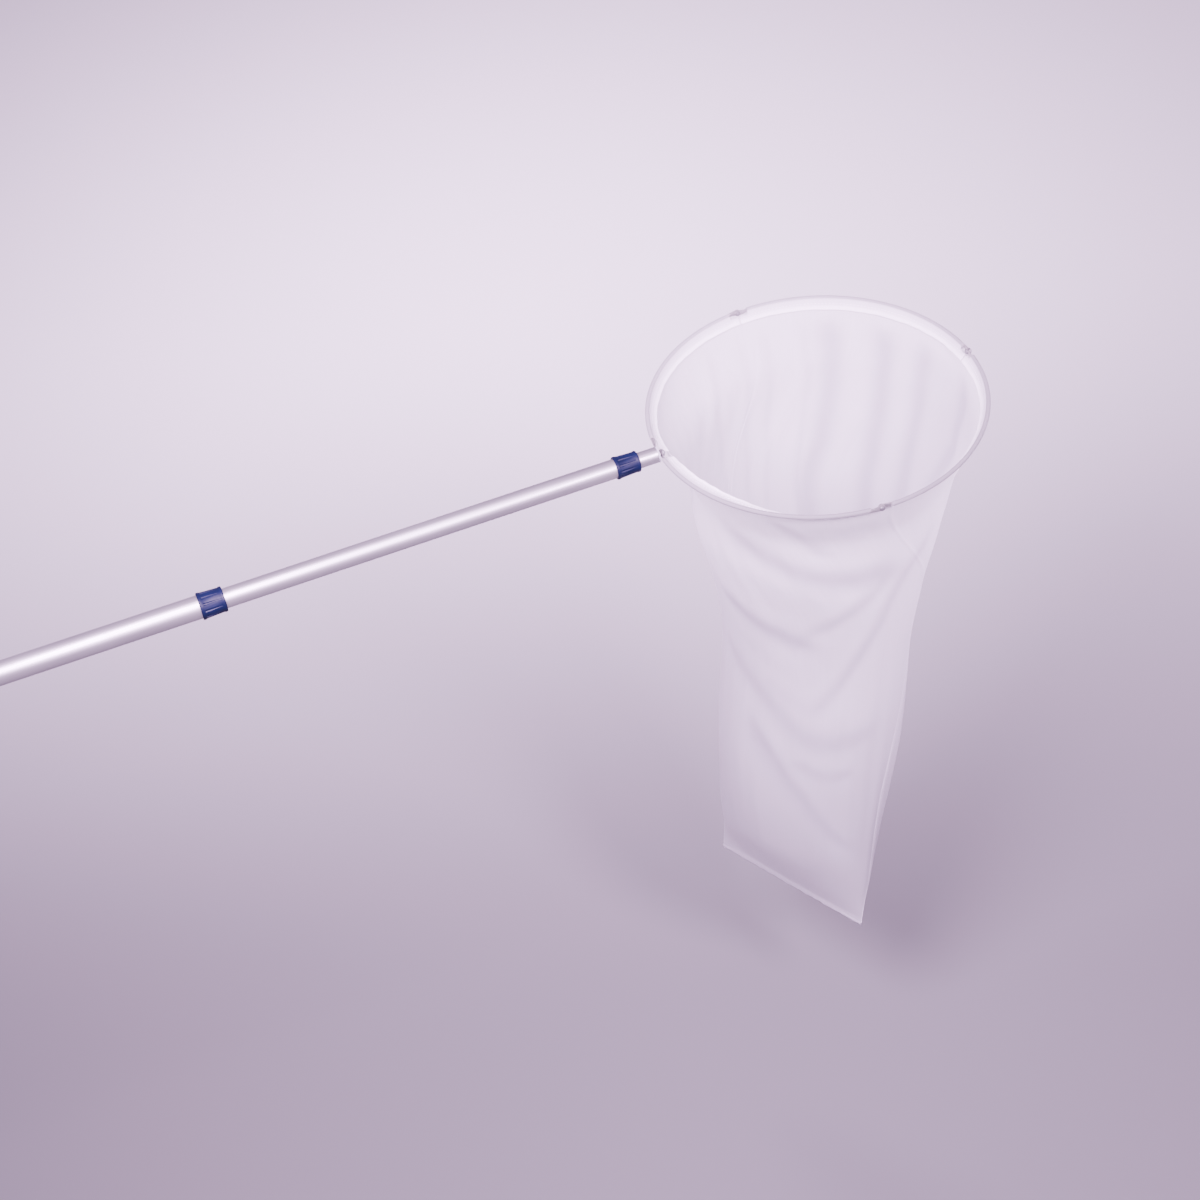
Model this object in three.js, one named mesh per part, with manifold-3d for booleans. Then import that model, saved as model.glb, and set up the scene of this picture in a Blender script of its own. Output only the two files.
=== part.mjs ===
// Long-handled net: a three-section telescopic pole with twist locks, a folding wire hoop and a deep cloth bag.
// Millimetres, +Z up. The pole lies along +X, the open hoop lies flat in the XY plane, and the bag hangs along -Z.
// The origin is on the pole's axis, at the middle of the hand grip.
import * as THREE from "three";
import { mergeVertices } from "three/addons/utils/BufferGeometryUtils.js";
import Module from "manifold-3d";

const wasm = await Module();
wasm.setup();

// ---- Driving dimensions ----

// Fits
const gap = 0.3; // between pieces that touch
const pinPlay = 0.3; // radial play of a rivet or bolt in its holes

// Pole
const gripTubeDiameter = 26;
const midTubeDiameter = 22;
const innerTubeDiameter = 18;
const tubeWall = 1;
const gripTubeLength = 540;
const midTubeShown = 474; // between the middles of the two collars
const midTubeHidden = 56; // behind the grip tube's mouth
const innerTubeShown = 36; // from the middle of the front collar to the tube's end
const innerTubeRoom = 75; // behind the inner tube, to the mid tube's rear end

// Twist locks
const collarLength = 27.5;
const collarWall = 2.1; // how far the collar stands out from its tube
const collarTaper = 1; // how much slimmer its nose is
const collarOverTube = 4.4; // how far it reaches back over the tube's end
const fluteCount = 12;
const fluteDepth = 0.7;
const fluteRadius = 1.8;
const ferruleStub = 12; // pressed into the tube
const ferruleNose = 20; // stands out of the tube, under the collar
const ferruleShoulder = 2.2;
const ferruleTaper = 0.8;
const ferruleSlit = 1.4;
const ferruleSlitLength = 11;
const threadCount = 3;
const threadPitch = 2;
const threadHeight = 0.25;

// Guide bushes
const bushFlange = 4;
const bushPlug = 14;
const bushWall = 1.6;

// Hand grip and end cap
const gripLength = 150;
const gripWall = 3.6;
const gripSwell = 1.4;
const gripGrooves = 7;
const gripGrooveDepth = 1.1;
const gripGrooveWidth = 5;
const capFlange = 4;
const capPlug = 18;
const capTabLength = 20;
const capTabWidth = 18;
const capTabThickness = 5;
const hangHoleDiameter = 9;

// Hoop
const hoopRadius = 190; // to the middle of the wire
const wireDiameter = 4;
const sideHingeSetback = 13; // the side hinges lie this far behind the hoop's middle
const tangThickness = 1.6;
const tangEye = 3.6; // radius of the rounded end
const tangNeck = 2.4; // half width where the flat ends
const tangLength = 12;
const tangBlend = 6; // from flat to round
const tangStraighten = 10; // from the straight flat to the bend of the hoop
const rivetDiameter = 3;
const rivetHead = 6.4;
const rivetHeadHeight = 1.5;
const boltDiameter = 4;
const boltEye = 4.4;
const boltHead = 8.4;
const boltHeadHeight = 3.2;
const boltReach = 16; // shank beyond the tangs
const insertFlange = 2;
const insertPlug = 20;

// Hem
const hemWall = 1;
const hemDrop = 14.5; // below the middle of the wire
const hemBand = 2.2; // thickness of the doubled cloth under the wire
const hemSetback = 21; // bare metal on each side of a hinge

// Bag: an oval at each share of the way down. Half length, half width and the oval's middle, which drifts
// off the hoop's middle as the bag leans, are shares of the hoop's radius.
const bagDepth = 750;
const clothThickness = 1.2;
const bagSections = [
  { down: 0, length: 1, width: 1, x: 0, y: 0 },
  { down: 0.08, length: 0.82, width: 0.82, x: 0, y: -0.04 },
  { down: 0.18, length: 0.76, width: 0.74, x: -0.04, y: -0.06 },
  { down: 0.31, length: 0.68, width: 0.63, x: -0.06, y: -0.07 },
  { down: 0.44, length: 0.63, width: 0.54, x: -0.1, y: -0.11 },
  { down: 0.62, length: 0.64, width: 0.52, x: -0.21, y: -0.16 },
  { down: 0.81, length: 0.61, width: 0.38, x: -0.35, y: -0.26 },
  { down: 1, length: 0.595, width: 0, x: -0.47, y: -0.34 },
];
const bagTwistTop = -90; // direction of the side seams at the hem, in degrees about Z
const bagTwistBottom = -61; // direction of the bottom seam
const bagTwistEnd = 0.31; // share of the way down where the turn ends
const seamDepth = 5; // the side seams' allowance, standing into the bag
const seamThickness = 1.6;
const bottomSeamDrop = 7;
const bottomSeamThickness = 5;

// Facets
const roundSteps = 26;
const smallSteps = 16;
const wireSides = 8;
const arcSteps = 18;
const panelSteps = 16;
const panelRows = 15;

// ---- Places worked out from the dimensions ----

const radius = { grip: gripTubeDiameter / 2, mid: midTubeDiameter / 2, inner: innerTubeDiameter / 2 };
const bore = { grip: radius.grip - tubeWall, mid: radius.mid - tubeWall, inner: radius.inner - tubeWall };
const collarBack = collarLength / 2 - collarOverTube; // from the tube's end to the collar's middle
const gripTubeRear = -gripLength / 2;
const gripTubeEnd = gripTubeRear + gripTubeLength;
const rearCollarAt = gripTubeEnd + collarBack;
const frontCollarAt = rearCollarAt + midTubeShown;
const midTubeRear = gripTubeEnd - midTubeHidden;
const midTubeEnd = frontCollarAt - collarBack;
const innerTubeRear = midTubeRear + innerTubeRoom;
const innerTubeEnd = frontCollarAt + innerTubeShown;
const wireRadius = wireDiameter / 2;
const lap = tangThickness / 2 + gap / 2; // each tang's offset along its pin
const stack = lap + tangThickness / 2; // half the thickness of two lapped tangs
const boltFace = innerTubeEnd + gap + insertFlange + gap; // where the lapped tangs at the pole begin
const hoopX = boltFace + stack + hoopRadius;
const sideHingeAngle = Math.PI / 2 + Math.asin(sideHingeSetback / hoopRadius);
const hingeX = hoopX - sideHingeSetback;
const hingeY = hoopRadius * Math.cos(sideHingeAngle - Math.PI / 2);

// ---- Building blocks ----

const smooth = (t) => {
  const c = Math.min(1, Math.max(0, t));
  return c * c * (3 - 2 * c);
};
const mix = (a, b, t) => a + (b - a) * t;

// A geometry as a manifold solid: only positions, with the shared vertices merged.
function solid(geometry) {
  const g = geometry.clone();
  g.deleteAttribute("normal");
  g.deleteAttribute("uv");
  const merged = mergeVertices(g, 1e-4);
  return new wasm.Manifold(
    new wasm.Mesh({
      numProp: 3,
      vertProperties: new Float32Array(merged.attributes.position.array),
      triVerts: new Uint32Array(merged.index.array),
    }),
  );
}

function geometryOf(made) {
  const m = made.getMesh();
  const g = new THREE.BufferGeometry();
  g.setAttribute("position", new THREE.BufferAttribute(new Float32Array(m.vertProperties), 3));
  g.setIndex(new THREE.BufferAttribute(new Uint32Array(m.triVerts), 1));
  g.computeVertexNormals();
  return g;
}

// A profile of [x, radius] points turned about the X axis.
function turned(profile, steps = roundSteps) {
  const points = profile.map(([x, r]) => new THREE.Vector2(r, x));
  return new THREE.LatheGeometry(points, steps).rotateZ(-Math.PI / 2);
}

// A hollow turned piece: its outer outline from rear to front, then its inner one from front to rear.
function sleeve(outer, inner, steps = roundSteps) {
  const loop = [...outer, ...inner];
  return turned([...loop, loop[0]], steps);
}

function triangles(points, faces) {
  const g = new THREE.BufferGeometry();
  g.setAttribute("position", new THREE.Float32BufferAttribute(points.flatMap((p) => [p.x, p.y, p.z]), 3));
  g.setIndex(faces);
  g.computeVertexNormals();
  return g;
}

// A solid bar through rings of points, closed by a fan at each end.
function barThrough(rings) {
  const n = rings[0].length;
  const points = rings.flat();
  const faces = [];
  for (let i = 0; i + 1 < rings.length; i++) {
    for (let j = 0; j < n; j++) {
      const a = i * n + j;
      const b = i * n + ((j + 1) % n);
      faces.push(a, b, a + n, b, b + n, a + n);
    }
  }
  const last = (rings.length - 1) * n;
  for (let j = 1; j + 1 < n; j++) {
    faces.push(0, j + 1, j, last, last + j, last + j + 1);
  }
  return triangles(points, faces);
}

// A pipe between outer rings and inner rings of as many points, open at both ends.
function pipeThrough(outer, inner) {
  const n = outer[0].length;
  const rows = outer.length;
  const points = [...outer.flat(), ...inner.flat()];
  const faces = [];
  const at = (side, i, j) => side * rows * n + i * n + (j % n);
  for (let i = 0; i + 1 < rows; i++) {
    for (let j = 0; j < n; j++) {
      faces.push(at(0, i, j), at(0, i, j + 1), at(0, i + 1, j));
      faces.push(at(0, i, j + 1), at(0, i + 1, j + 1), at(0, i + 1, j));
      faces.push(at(1, i, j), at(1, i + 1, j), at(1, i, j + 1));
      faces.push(at(1, i, j + 1), at(1, i + 1, j), at(1, i + 1, j + 1));
    }
  }
  for (const [i, flip] of [[0, false], [rows - 1, true]]) {
    for (let j = 0; j < n; j++) {
      const quad = [at(0, i, j), at(1, i, j), at(1, i, j + 1), at(0, i, j + 1)];
      const q = flip ? quad.reverse() : quad;
      faces.push(q[0], q[1], q[2], q[0], q[2], q[3]);
    }
  }
  return triangles(points, faces);
}

// A thick sheet between an outer and an inner grid of points, closed along its four edges.
function sheetBetween(outer, inner) {
  const rows = outer.length;
  const n = outer[0].length;
  const points = [...outer.flat(), ...inner.flat()];
  const faces = [];
  const at = (side, i, j) => side * rows * n + i * n + j;
  const quad = (a, b, c, d) => faces.push(a, b, c, a, c, d);
  for (let i = 0; i + 1 < rows; i++) {
    for (let j = 0; j + 1 < n; j++) {
      quad(at(0, i, j), at(0, i, j + 1), at(0, i + 1, j + 1), at(0, i + 1, j));
      quad(at(1, i, j), at(1, i + 1, j), at(1, i + 1, j + 1), at(1, i, j + 1));
    }
    quad(at(0, i, 0), at(0, i + 1, 0), at(1, i + 1, 0), at(1, i, 0));
    quad(at(0, i, n - 1), at(1, i, n - 1), at(1, i + 1, n - 1), at(0, i + 1, n - 1));
  }
  for (let j = 0; j + 1 < n; j++) {
    quad(at(0, 0, j), at(1, 0, j), at(1, 0, j + 1), at(0, 0, j + 1));
    quad(at(0, rows - 1, j), at(0, rows - 1, j + 1), at(1, rows - 1, j + 1), at(1, rows - 1, j));
  }
  return triangles(points, faces);
}

const materials = {
  aluminium: new THREE.MeshStandardMaterial({ color: 0xd9d4d6, roughness: 0.35, metalness: 0.9 }),
  bluePlastic: new THREE.MeshStandardMaterial({ color: 0x173f86, roughness: 0.35, metalness: 0.2 }),
  greyPlastic: new THREE.MeshStandardMaterial({ color: 0x9a9aa0, roughness: 0.6, metalness: 0 }),
  blackFoam: new THREE.MeshStandardMaterial({ color: 0x26262a, roughness: 0.9, metalness: 0 }),
  steel: new THREE.MeshStandardMaterial({ color: 0xa7a3a8, roughness: 0.4, metalness: 1 }),
  mesh: new THREE.MeshStandardMaterial({ color: 0xf3eff5, roughness: 0.95, metalness: 0 }),
};

const net = new THREE.Group();

function add(name, geometry, material, parent = net) {
  const mesh = new THREE.Mesh(geometry, materials[material]);
  mesh.name = name;
  parent.add(mesh);
  return mesh;
}

// ---- Pole ----

function tube(rear, end, outer, inner) {
  return sleeve([[rear, outer], [end, outer]], [[end, inner], [rear, inner]]);
}

// A ring of plastic behind a tube's end, with a plug in the tube. It runs in the next larger tube.
function guideBush(tubeRear, tubeBore, runsIn) {
  const plug = tubeBore - gap;
  const hole = plug - bushWall;
  const face = tubeRear - gap;
  return sleeve(
    [[face - bushFlange, runsIn - gap], [face, runsIn - gap], [face, plug], [face + bushPlug, plug]],
    [[face + bushPlug, hole], [face - bushFlange, hole]],
  );
}

// The split ferrule in a tube's mouth: a stub in the tube, a shoulder, a thread and tapered fingers.
function lockFerrule(tubeEnd, outerRadius, tubeBore, innerRadius) {
  const hole = innerRadius + gap;
  const shoulder = outerRadius - gap / 2;
  const barrel = outerRadius - 0.4;
  const start = tubeEnd + gap;
  const threadStart = start + ferruleShoulder + 1;
  const outline = [
    [tubeEnd - ferruleStub, tubeBore - gap],
    [start, tubeBore - gap],
    [start, shoulder],
    [start + ferruleShoulder, shoulder],
    [start + ferruleShoulder, barrel - threadHeight],
  ];
  for (let i = 0; i < threadCount; i++) {
    const x = threadStart + i * threadPitch;
    outline.push([x, barrel - threadHeight], [x + threadPitch / 2, barrel]);
  }
  const threadEnd = threadStart + threadCount * threadPitch;
  outline.push([threadEnd, barrel - threadHeight], [start + ferruleNose, barrel - threadHeight - ferruleTaper]);
  const nose = start + ferruleNose;
  let made = solid(sleeve(outline, [[nose, hole], [tubeEnd - ferruleStub, hole]]));
  const slitWide = 4 * outerRadius;
  for (const turn of [0, Math.PI / 2]) {
    const slit = new THREE.BoxGeometry(2 * ferruleSlitLength, ferruleSlit, slitWide);
    made = made.subtract(solid(slit.rotateX(turn).translate(nose, 0, 0)));
  }
  return geometryOf(made);
}

// The blue twist collar: a fluted barrel, slimmer at its nose, that covers the ferrule and the tube's end.
function lockCollar(middle, tubeEnd, outerRadius, innerRadius) {
  const rear = middle - collarLength / 2;
  const front = middle + collarLength / 2;
  const rimBack = outerRadius + collarWall;
  const rimFront = rimBack - collarTaper;
  const rim = 3;
  const waist = 0.5;
  const outer = [
    [rear, rimBack - 0.6],
    [rear + 0.6, rimBack],
    [rear + rim, rimBack],
    [rear + rim + 1, rimBack - waist],
    [front - rim - 1, rimFront - waist],
    [front - rim, rimFront],
    [front - 0.8, rimFront],
    [front, rimFront - 0.8],
  ];
  const noseEnd = tubeEnd + gap + ferruleNose;
  const barrel = outerRadius - 0.4;
  const inner = [
    [front, innerRadius + gap],
    [noseEnd + gap, innerRadius + gap],
    [noseEnd + gap, barrel + gap - ferruleTaper],
    [noseEnd - ferruleSlitLength, barrel + gap],
    [tubeEnd + ferruleShoulder + 2 * gap, barrel + gap],
    [tubeEnd + ferruleShoulder + 2 * gap, outerRadius + gap],
    [rear, outerRadius + gap],
  ];
  let made = solid(sleeve(outer, inner));
  const length = collarLength - 2 * rim - 2;
  for (let i = 0; i < fluteCount; i++) {
    const flute = new THREE.CylinderGeometry(fluteRadius, fluteRadius, length, 10).rotateZ(Math.PI / 2);
    flute.translate(middle, rimBack - collarTaper / 2 - waist - fluteDepth + fluteRadius, 0);
    flute.rotateX(((i + 0.5) * 2 * Math.PI) / fluteCount);
    made = made.subtract(solid(flute));
  }
  return geometryOf(made);
}

function handGrip() {
  const inner = radius.grip + gap;
  const outer = inner + gripWall;
  const rear = gripTubeRear;
  const front = rear + gripLength;
  const shape = (x) => outer + gripSwell * Math.sin((Math.PI * (x - rear)) / gripLength) ** 2;
  const outline = [[rear, outer - 1], [rear + 1, outer]];
  const pitch = (gripLength - 4 * gripGrooveWidth) / gripGrooves;
  for (let i = 0; i < gripGrooves; i++) {
    const x = rear + 2 * gripGrooveWidth + (i + 0.5) * pitch;
    outline.push([x - gripGrooveWidth / 2, shape(x)]);
    outline.push([x, shape(x) - gripGrooveDepth]);
    outline.push([x + gripGrooveWidth / 2, shape(x)]);
  }
  outline.push([front - 3, outer], [front, outer - 2.4]);
  return sleeve(outline, [[front, inner], [rear, inner]]);
}

// The end cap: a plug in the grip tube, a flange over the tube's and the grip's ends, and a tab to hang it by.
function endCap() {
  const face = gripTubeRear - gap;
  const flange = radius.grip + gap + gripWall;
  const plug = bore.grip - gap;
  const back = face - capFlange;
  const outline = [
    [back, 0],
    [back, flange - 1],
    [back + 1, flange],
    [face, flange],
    [face, plug],
    [face + capPlug - 1, plug],
    [face + capPlug, plug - 1],
    [face + capPlug, 0],
  ];
  const half = capTabWidth / 2;
  const hole = hangHoleDiameter / 2;
  const centre = back - capTabLength + half;
  const tab = new THREE.Shape();
  tab.moveTo(back + capFlange / 2, half);
  tab.lineTo(centre, half);
  tab.absarc(centre, 0, half, Math.PI / 2, (3 * Math.PI) / 2, false);
  tab.lineTo(back + capFlange / 2, -half);
  const eye = new THREE.Path();
  eye.absarc(centre, 0, hole, 0, 2 * Math.PI, true);
  tab.holes.push(eye);
  const plate = new THREE.ExtrudeGeometry(tab, { depth: capTabThickness, bevelEnabled: false, curveSegments: 16 });
  plate.translate(0, 0, -capTabThickness / 2);
  return geometryOf(solid(turned(outline)).add(solid(plate)));
}

add("grip_tube", tube(gripTubeRear, gripTubeEnd, radius.grip, bore.grip), "aluminium");
add("hand_grip", handGrip(), "blackFoam");
add("end_cap", endCap(), "bluePlastic");
add("rear_lock_ferrule", lockFerrule(gripTubeEnd, radius.grip, bore.grip, radius.mid), "greyPlastic");
add("rear_lock_collar", lockCollar(rearCollarAt, gripTubeEnd, radius.grip, radius.mid), "bluePlastic");

add("mid_tube", tube(midTubeRear, midTubeEnd, radius.mid, bore.mid), "aluminium");
add("mid_guide_bush", guideBush(midTubeRear, bore.mid, bore.grip), "greyPlastic");
add("front_lock_ferrule", lockFerrule(midTubeEnd, radius.mid, bore.mid, radius.inner), "greyPlastic");
add("front_lock_collar", lockCollar(frontCollarAt, midTubeEnd, radius.mid, radius.inner), "bluePlastic");

add("inner_tube", tube(innerTubeRear, innerTubeEnd, radius.inner, bore.inner), "aluminium");
add("inner_guide_bush", guideBush(innerTubeRear, bore.inner, bore.mid), "greyPlastic");

// ---- Hoop on the pole's tip ----

// The insert closes the inner tube, and the bolt goes through both lapped tangs into it.
function tipInsert() {
  const face = innerTubeEnd + gap + insertFlange;
  const hole = boltDiameter / 2 + pinPlay;
  const rear = innerTubeEnd - insertPlug;
  const plug = bore.inner - gap;
  const bottom = face - boltReach - gap;
  return turned([
    [rear, 0],
    [rear, plug - 1],
    [rear + 1, plug],
    [innerTubeEnd + gap, plug],
    [innerTubeEnd + gap, radius.inner],
    [face - 0.5, radius.inner],
    [face, radius.inner - 0.5],
    [face, hole],
    [bottom, hole],
    [bottom, 0],
  ], smallSteps);
}

function hoopBolt() {
  const seat = boltFace + 2 * stack + gap;
  const shank = boltDiameter / 2;
  const head = boltHead / 2;
  return turned([
    [seat - 2 * stack - gap - boltReach, 0],
    [seat - 2 * stack - gap - boltReach, shank - 0.4],
    [seat - 2 * stack - gap - boltReach + 0.4, shank],
    [seat, shank],
    [seat, head],
    [seat + boltHeadHeight / 2, head],
    [seat + boltHeadHeight, head / 2],
    [seat + boltHeadHeight, 0],
  ], smallSteps);
}

function rivet() {
  const seat = stack + gap;
  const shank = rivetDiameter / 2;
  const head = rivetHead / 2;
  return turned([
    [-seat - rivetHeadHeight, 0],
    [-seat - rivetHeadHeight, head / 2],
    [-seat - rivetHeadHeight / 2, head * 0.9],
    [-seat, head],
    [-seat, shank],
    [seat, shank],
    [seat, head],
    [seat + rivetHeadHeight / 2, head * 0.9],
    [seat + rivetHeadHeight, head / 2],
    [seat + rivetHeadHeight, 0],
  ], smallSteps);
}

// The hinges of the hoop, by angle about its middle. Each pin stands square to its hinge line.
const pins = {
  tip: { angle: 0, axis: new THREE.Vector3(1, 0, 0), eye: tangEye, hole: rivetDiameter / 2 + pinPlay },
  left: { angle: sideHingeAngle, axis: new THREE.Vector3(0, 1, 0), eye: tangEye, hole: rivetDiameter / 2 + pinPlay },
  pole: { angle: Math.PI, axis: new THREE.Vector3(-1, 0, 0), eye: boltEye, hole: boltDiameter / 2 + pinPlay },
  right: { angle: -sideHingeAngle, axis: new THREE.Vector3(0, -1, 0), eye: tangEye, hole: rivetDiameter / 2 + pinPlay },
};

const onHoop = (angle, r = hoopRadius) => new THREE.Vector3(r * Math.cos(angle), r * Math.sin(angle), 0);

// One segment of the hoop: round wire whose two ends are flattened, drilled and lapped on their neighbours.
// lapFrom and lapTo are +1 where its tang is the outer of the two, and -1 where it is the inner one.
function hoopSegment(from, to, fromAngle, toAngle, lapFrom, lapTo) {
  const length = hoopRadius * (toAngle - fromAngle);
  const along = (pin, inward) => new THREE.Vector3(-pin.axis.y, pin.axis.x, 0).multiplyScalar(inward);
  const ends = [
    { pin: from, lap: lapFrom, point: onHoop(fromAngle), angle: fromAngle, inward: 1, way: along(from, 1) },
    { pin: to, lap: lapTo, point: onHoop(toAngle), angle: toAngle, inward: -1, way: along(to, -1) },
  ];
  // The middle of the bar and its half sizes, at distance s from one pin.
  const station = (end, s) => {
    const angle = end.angle + (end.inward * s) / hoopRadius;
    const bent = smooth((s - end.pin.eye) / tangStraighten);
    const rounded = smooth((s - tangLength) / tangBlend);
    const eye = end.pin.eye;
    const radial = end.pin.axis.clone().lerp(onHoop(angle, 1), bent).normalize();
    const middle = end.point.clone().addScaledVector(end.way, s).lerp(onHoop(angle), bent);
    middle.addScaledVector(radial, end.lap * lap * (1 - rounded));
    const flat = s < 0 ? Math.sqrt(Math.max(0, eye * eye - s * s)) : mix(eye, tangNeck, smooth(s / tangLength));
    return {
      middle,
      radial,
      thick: mix(tangThickness / 2, wireRadius, rounded),
      wide: Math.max(0.5, mix(flat, wireRadius, rounded)),
      square: 1 - rounded,
    };
  };
  const ring = ({ middle, radial, thick, wide, square }) => {
    const points = [];
    for (let j = 0; j < wireSides; j++) {
      const t = (2 * Math.PI * (j + 0.5)) / wireSides;
      const c = Math.cos(t);
      const s = Math.sin(t);
      const boxy = 1 / Math.max(Math.abs(c), Math.abs(s));
      const k = mix(1, boxy, square);
      const p = middle.clone().addScaledVector(radial, thick * c * k);
      p.z += wide * s * k;
      points.push(p);
    }
    return points.reverse();
  };
  const eyeSteps = (end) => [-1, -0.92, -0.75, -0.5, -0.2].map((f) => f * end.pin.eye * 0.995);
  const reach = Math.max(tangLength + tangBlend, tangEye + tangStraighten) + 1;
  const near = [0, 2, 4, 6, 7.5, 9, 11, 12.5, 14, 16].map((k) => (k * reach) / 16);
  const rings = [];
  for (const s of [...eyeSteps(ends[0]), ...near]) rings.push(ring(station(ends[0], s)));
  for (let i = 1; i < arcSteps; i++) rings.push(ring(station(ends[0], mix(reach, length - reach, i / arcSteps))));
  for (const s of [...near].reverse()) rings.push(ring(station(ends[1], s)));
  for (const s of eyeSteps(ends[1]).reverse()) rings.push(ring(station(ends[1], s)));
  let made = solid(barThrough(rings));
  for (const end of ends) {
    const drill = new THREE.CylinderGeometry(end.pin.hole, end.pin.hole, 4 * wireDiameter, smallSteps);
    const turn = Math.atan2(end.pin.axis.y, end.pin.axis.x);
    drill.rotateZ(turn - Math.PI / 2).translate(end.point.x, end.point.y, 0);
    made = made.subtract(solid(drill));
  }
  return geometryOf(made);
}

// The casing of doubled cloth round one segment: a sleeve on the wire that hangs down as a narrow band.
function hemCasing(fromAngle, toAngle) {
  const channel = wireRadius + gap;
  const outer = channel + hemWall;
  const start = fromAngle + hemSetback / hoopRadius;
  const end = toAngle - hemSetback / hoopRadius;
  const last = wireSides - 1;
  const outerRings = [];
  const innerRings = [];
  for (let i = 0; i <= arcSteps; i++) {
    const angle = mix(start, end, i / arcSteps);
    const radial = onHoop(angle, 1);
    const middle = onHoop(angle);
    const ringOf = (r, band) => {
      const points = [];
      for (let j = 0; j < wireSides; j++) {
        const t = (2 * Math.PI * (j + 0.5)) / wireSides - Math.PI / 2;
        const p = middle.clone().addScaledVector(radial, r * Math.cos(t));
        p.z += r * Math.sin(t);
        if (band && (j === 0 || j === last)) {
          p.copy(middle).addScaledVector(radial, (Math.sign(Math.cos(t)) * hemBand) / 2);
          p.z = -hemDrop;
        }
        points.push(p);
      }
      return points.reverse();
    };
    outerRings.push(ringOf(outer, true));
    innerRings.push(ringOf(channel, false));
  }
  return pipeThrough(outerRings, innerRings);
}

const hoop = new THREE.Group();
hoop.position.x = hoopX;
net.add(hoop);

add("tip_insert", tipInsert(), "greyPlastic");
add("hoop_bolt", hoopBolt(), "steel");

const full = 2 * Math.PI;
const segments = [
  { name: "rear_left", from: "left", to: "pole", a: sideHingeAngle, b: Math.PI, laps: [1, 1] },
  { name: "rear_right", from: "pole", to: "right", a: Math.PI, b: full - sideHingeAngle, laps: [-1, 1] },
  { name: "front_right", from: "right", to: "tip", a: -sideHingeAngle, b: 0, laps: [-1, -1] },
  { name: "front_left", from: "tip", to: "left", a: 0, b: sideHingeAngle, laps: [1, -1] },
];
for (const { name, from, to, a, b, laps } of segments) {
  add("hoop_" + name, hoopSegment(pins[from], pins[to], a, b, laps[0], laps[1]), "steel", hoop);
  add("hem_" + name, hemCasing(a, b), "mesh", hoop);
}
for (const name of ["tip", "left", "right"]) {
  const pin = pins[name];
  const placed = add("rivet_" + name, rivet(), "steel", hoop);
  placed.position.copy(onHoop(pin.angle));
  placed.rotation.z = Math.atan2(pin.axis.y, pin.axis.x);
}

// ---- Bag ----

// One size of the oval on the way down, on a smooth curve through the listed sections.
function sectionCurve(key) {
  const at = bagSections.map((s) => s.down);
  const v = bagSections.map((s) => s[key] * hoopRadius);
  const last = v.length - 1;
  const rise = (i) => (v[i + 1] - v[i]) / (at[i + 1] - at[i]);
  const slope = v.map((_, i) => {
    if (i === 0) return rise(0);
    if (i === last) return rise(last - 1);
    return rise(i - 1) * rise(i) <= 0 ? 0 : (2 * rise(i - 1) * rise(i)) / (rise(i - 1) + rise(i));
  });
  return (down) => {
    let i = 0;
    while (i < last - 1 && down > at[i + 1]) i++;
    const h = at[i + 1] - at[i];
    const t = (down - at[i]) / h;
    const ease = t * t * (3 - 2 * t);
    const lift = t * (1 - t) * (1 - t) * h * slope[i] - t * t * (1 - t) * h * slope[i + 1];
    return mix(v[i], v[i + 1], ease) + lift;
  };
}
const bagLength = sectionCurve("length");
const bagWidth = sectionCurve("width");
const bagX = sectionCurve("x");
const bagY = sectionCurve("y");
const bagTop = hemDrop + gap;
const flatWidth = seamThickness / 2 + clothThickness + 2 * gap; // where the panels meet at the bottom

const bagTurn = (down) =>
  THREE.MathUtils.degToRad(mix(bagTwistTop, bagTwistBottom, smooth(down / bagTwistEnd)));
const bagZ = (down) => -mix(bagTop, bagDepth, down);

// A point of a panel. around is 0 at one side seam and half a turn at the other, and side is 1 or -1.
function bagPoint(down, around, side, inset) {
  const clear = seamThickness / 2 + gap;
  const width = Math.max(bagWidth(down), flatWidth);
  const u = side * (bagLength(down) - inset) * Math.cos(around);
  const v = side * (clear + (width - clear - inset) * Math.sin(around));
  const turn = bagTurn(down);
  const x = bagX(down) + u * Math.cos(turn) - v * Math.sin(turn);
  const y = bagY(down) + u * Math.sin(turn) + v * Math.cos(turn);
  return new THREE.Vector3(x, y, bagZ(down));
}

// Half of the bag, from one side seam to the other.
function bagPanel(side) {
  const outer = [];
  const inner = [];
  for (let i = 0; i <= panelRows; i++) {
    const down = i / panelRows;
    const rowOut = [];
    const rowIn = [];
    for (let j = 0; j <= panelSteps; j++) {
      const around = Math.PI * (1 - j / panelSteps);
      rowOut.push(bagPoint(down, around, side, 0));
      rowIn.push(bagPoint(down, around, side, clothThickness));
    }
    outer.push(rowOut);
    inner.push(rowIn);
  }
  return sheetBetween(outer, inner);
}

// The allowance of a side seam: a narrow strip that stands into the bag between the two panels.
function sideSeam(end) {
  const rings = [];
  for (let i = 0; i <= panelRows; i++) {
    const down = i / panelRows;
    const turn = bagTurn(down);
    const middle = new THREE.Vector3(bagX(down), bagY(down), bagZ(down));
    const out = new THREE.Vector3(Math.cos(turn), Math.sin(turn), 0).multiplyScalar(end);
    const side = new THREE.Vector3(-Math.sin(turn), Math.cos(turn), 0).multiplyScalar(seamThickness / 2);
    const reach = bagLength(down);
    rings.push([
      middle.clone().addScaledVector(out, reach).add(side),
      middle.clone().addScaledVector(out, reach).sub(side),
      middle.clone().addScaledVector(out, reach - seamDepth).sub(side),
      middle.clone().addScaledVector(out, reach - seamDepth).add(side),
    ]);
  }
  return barThrough(end > 0 ? rings : rings.map((r) => r.reverse()));
}

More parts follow.
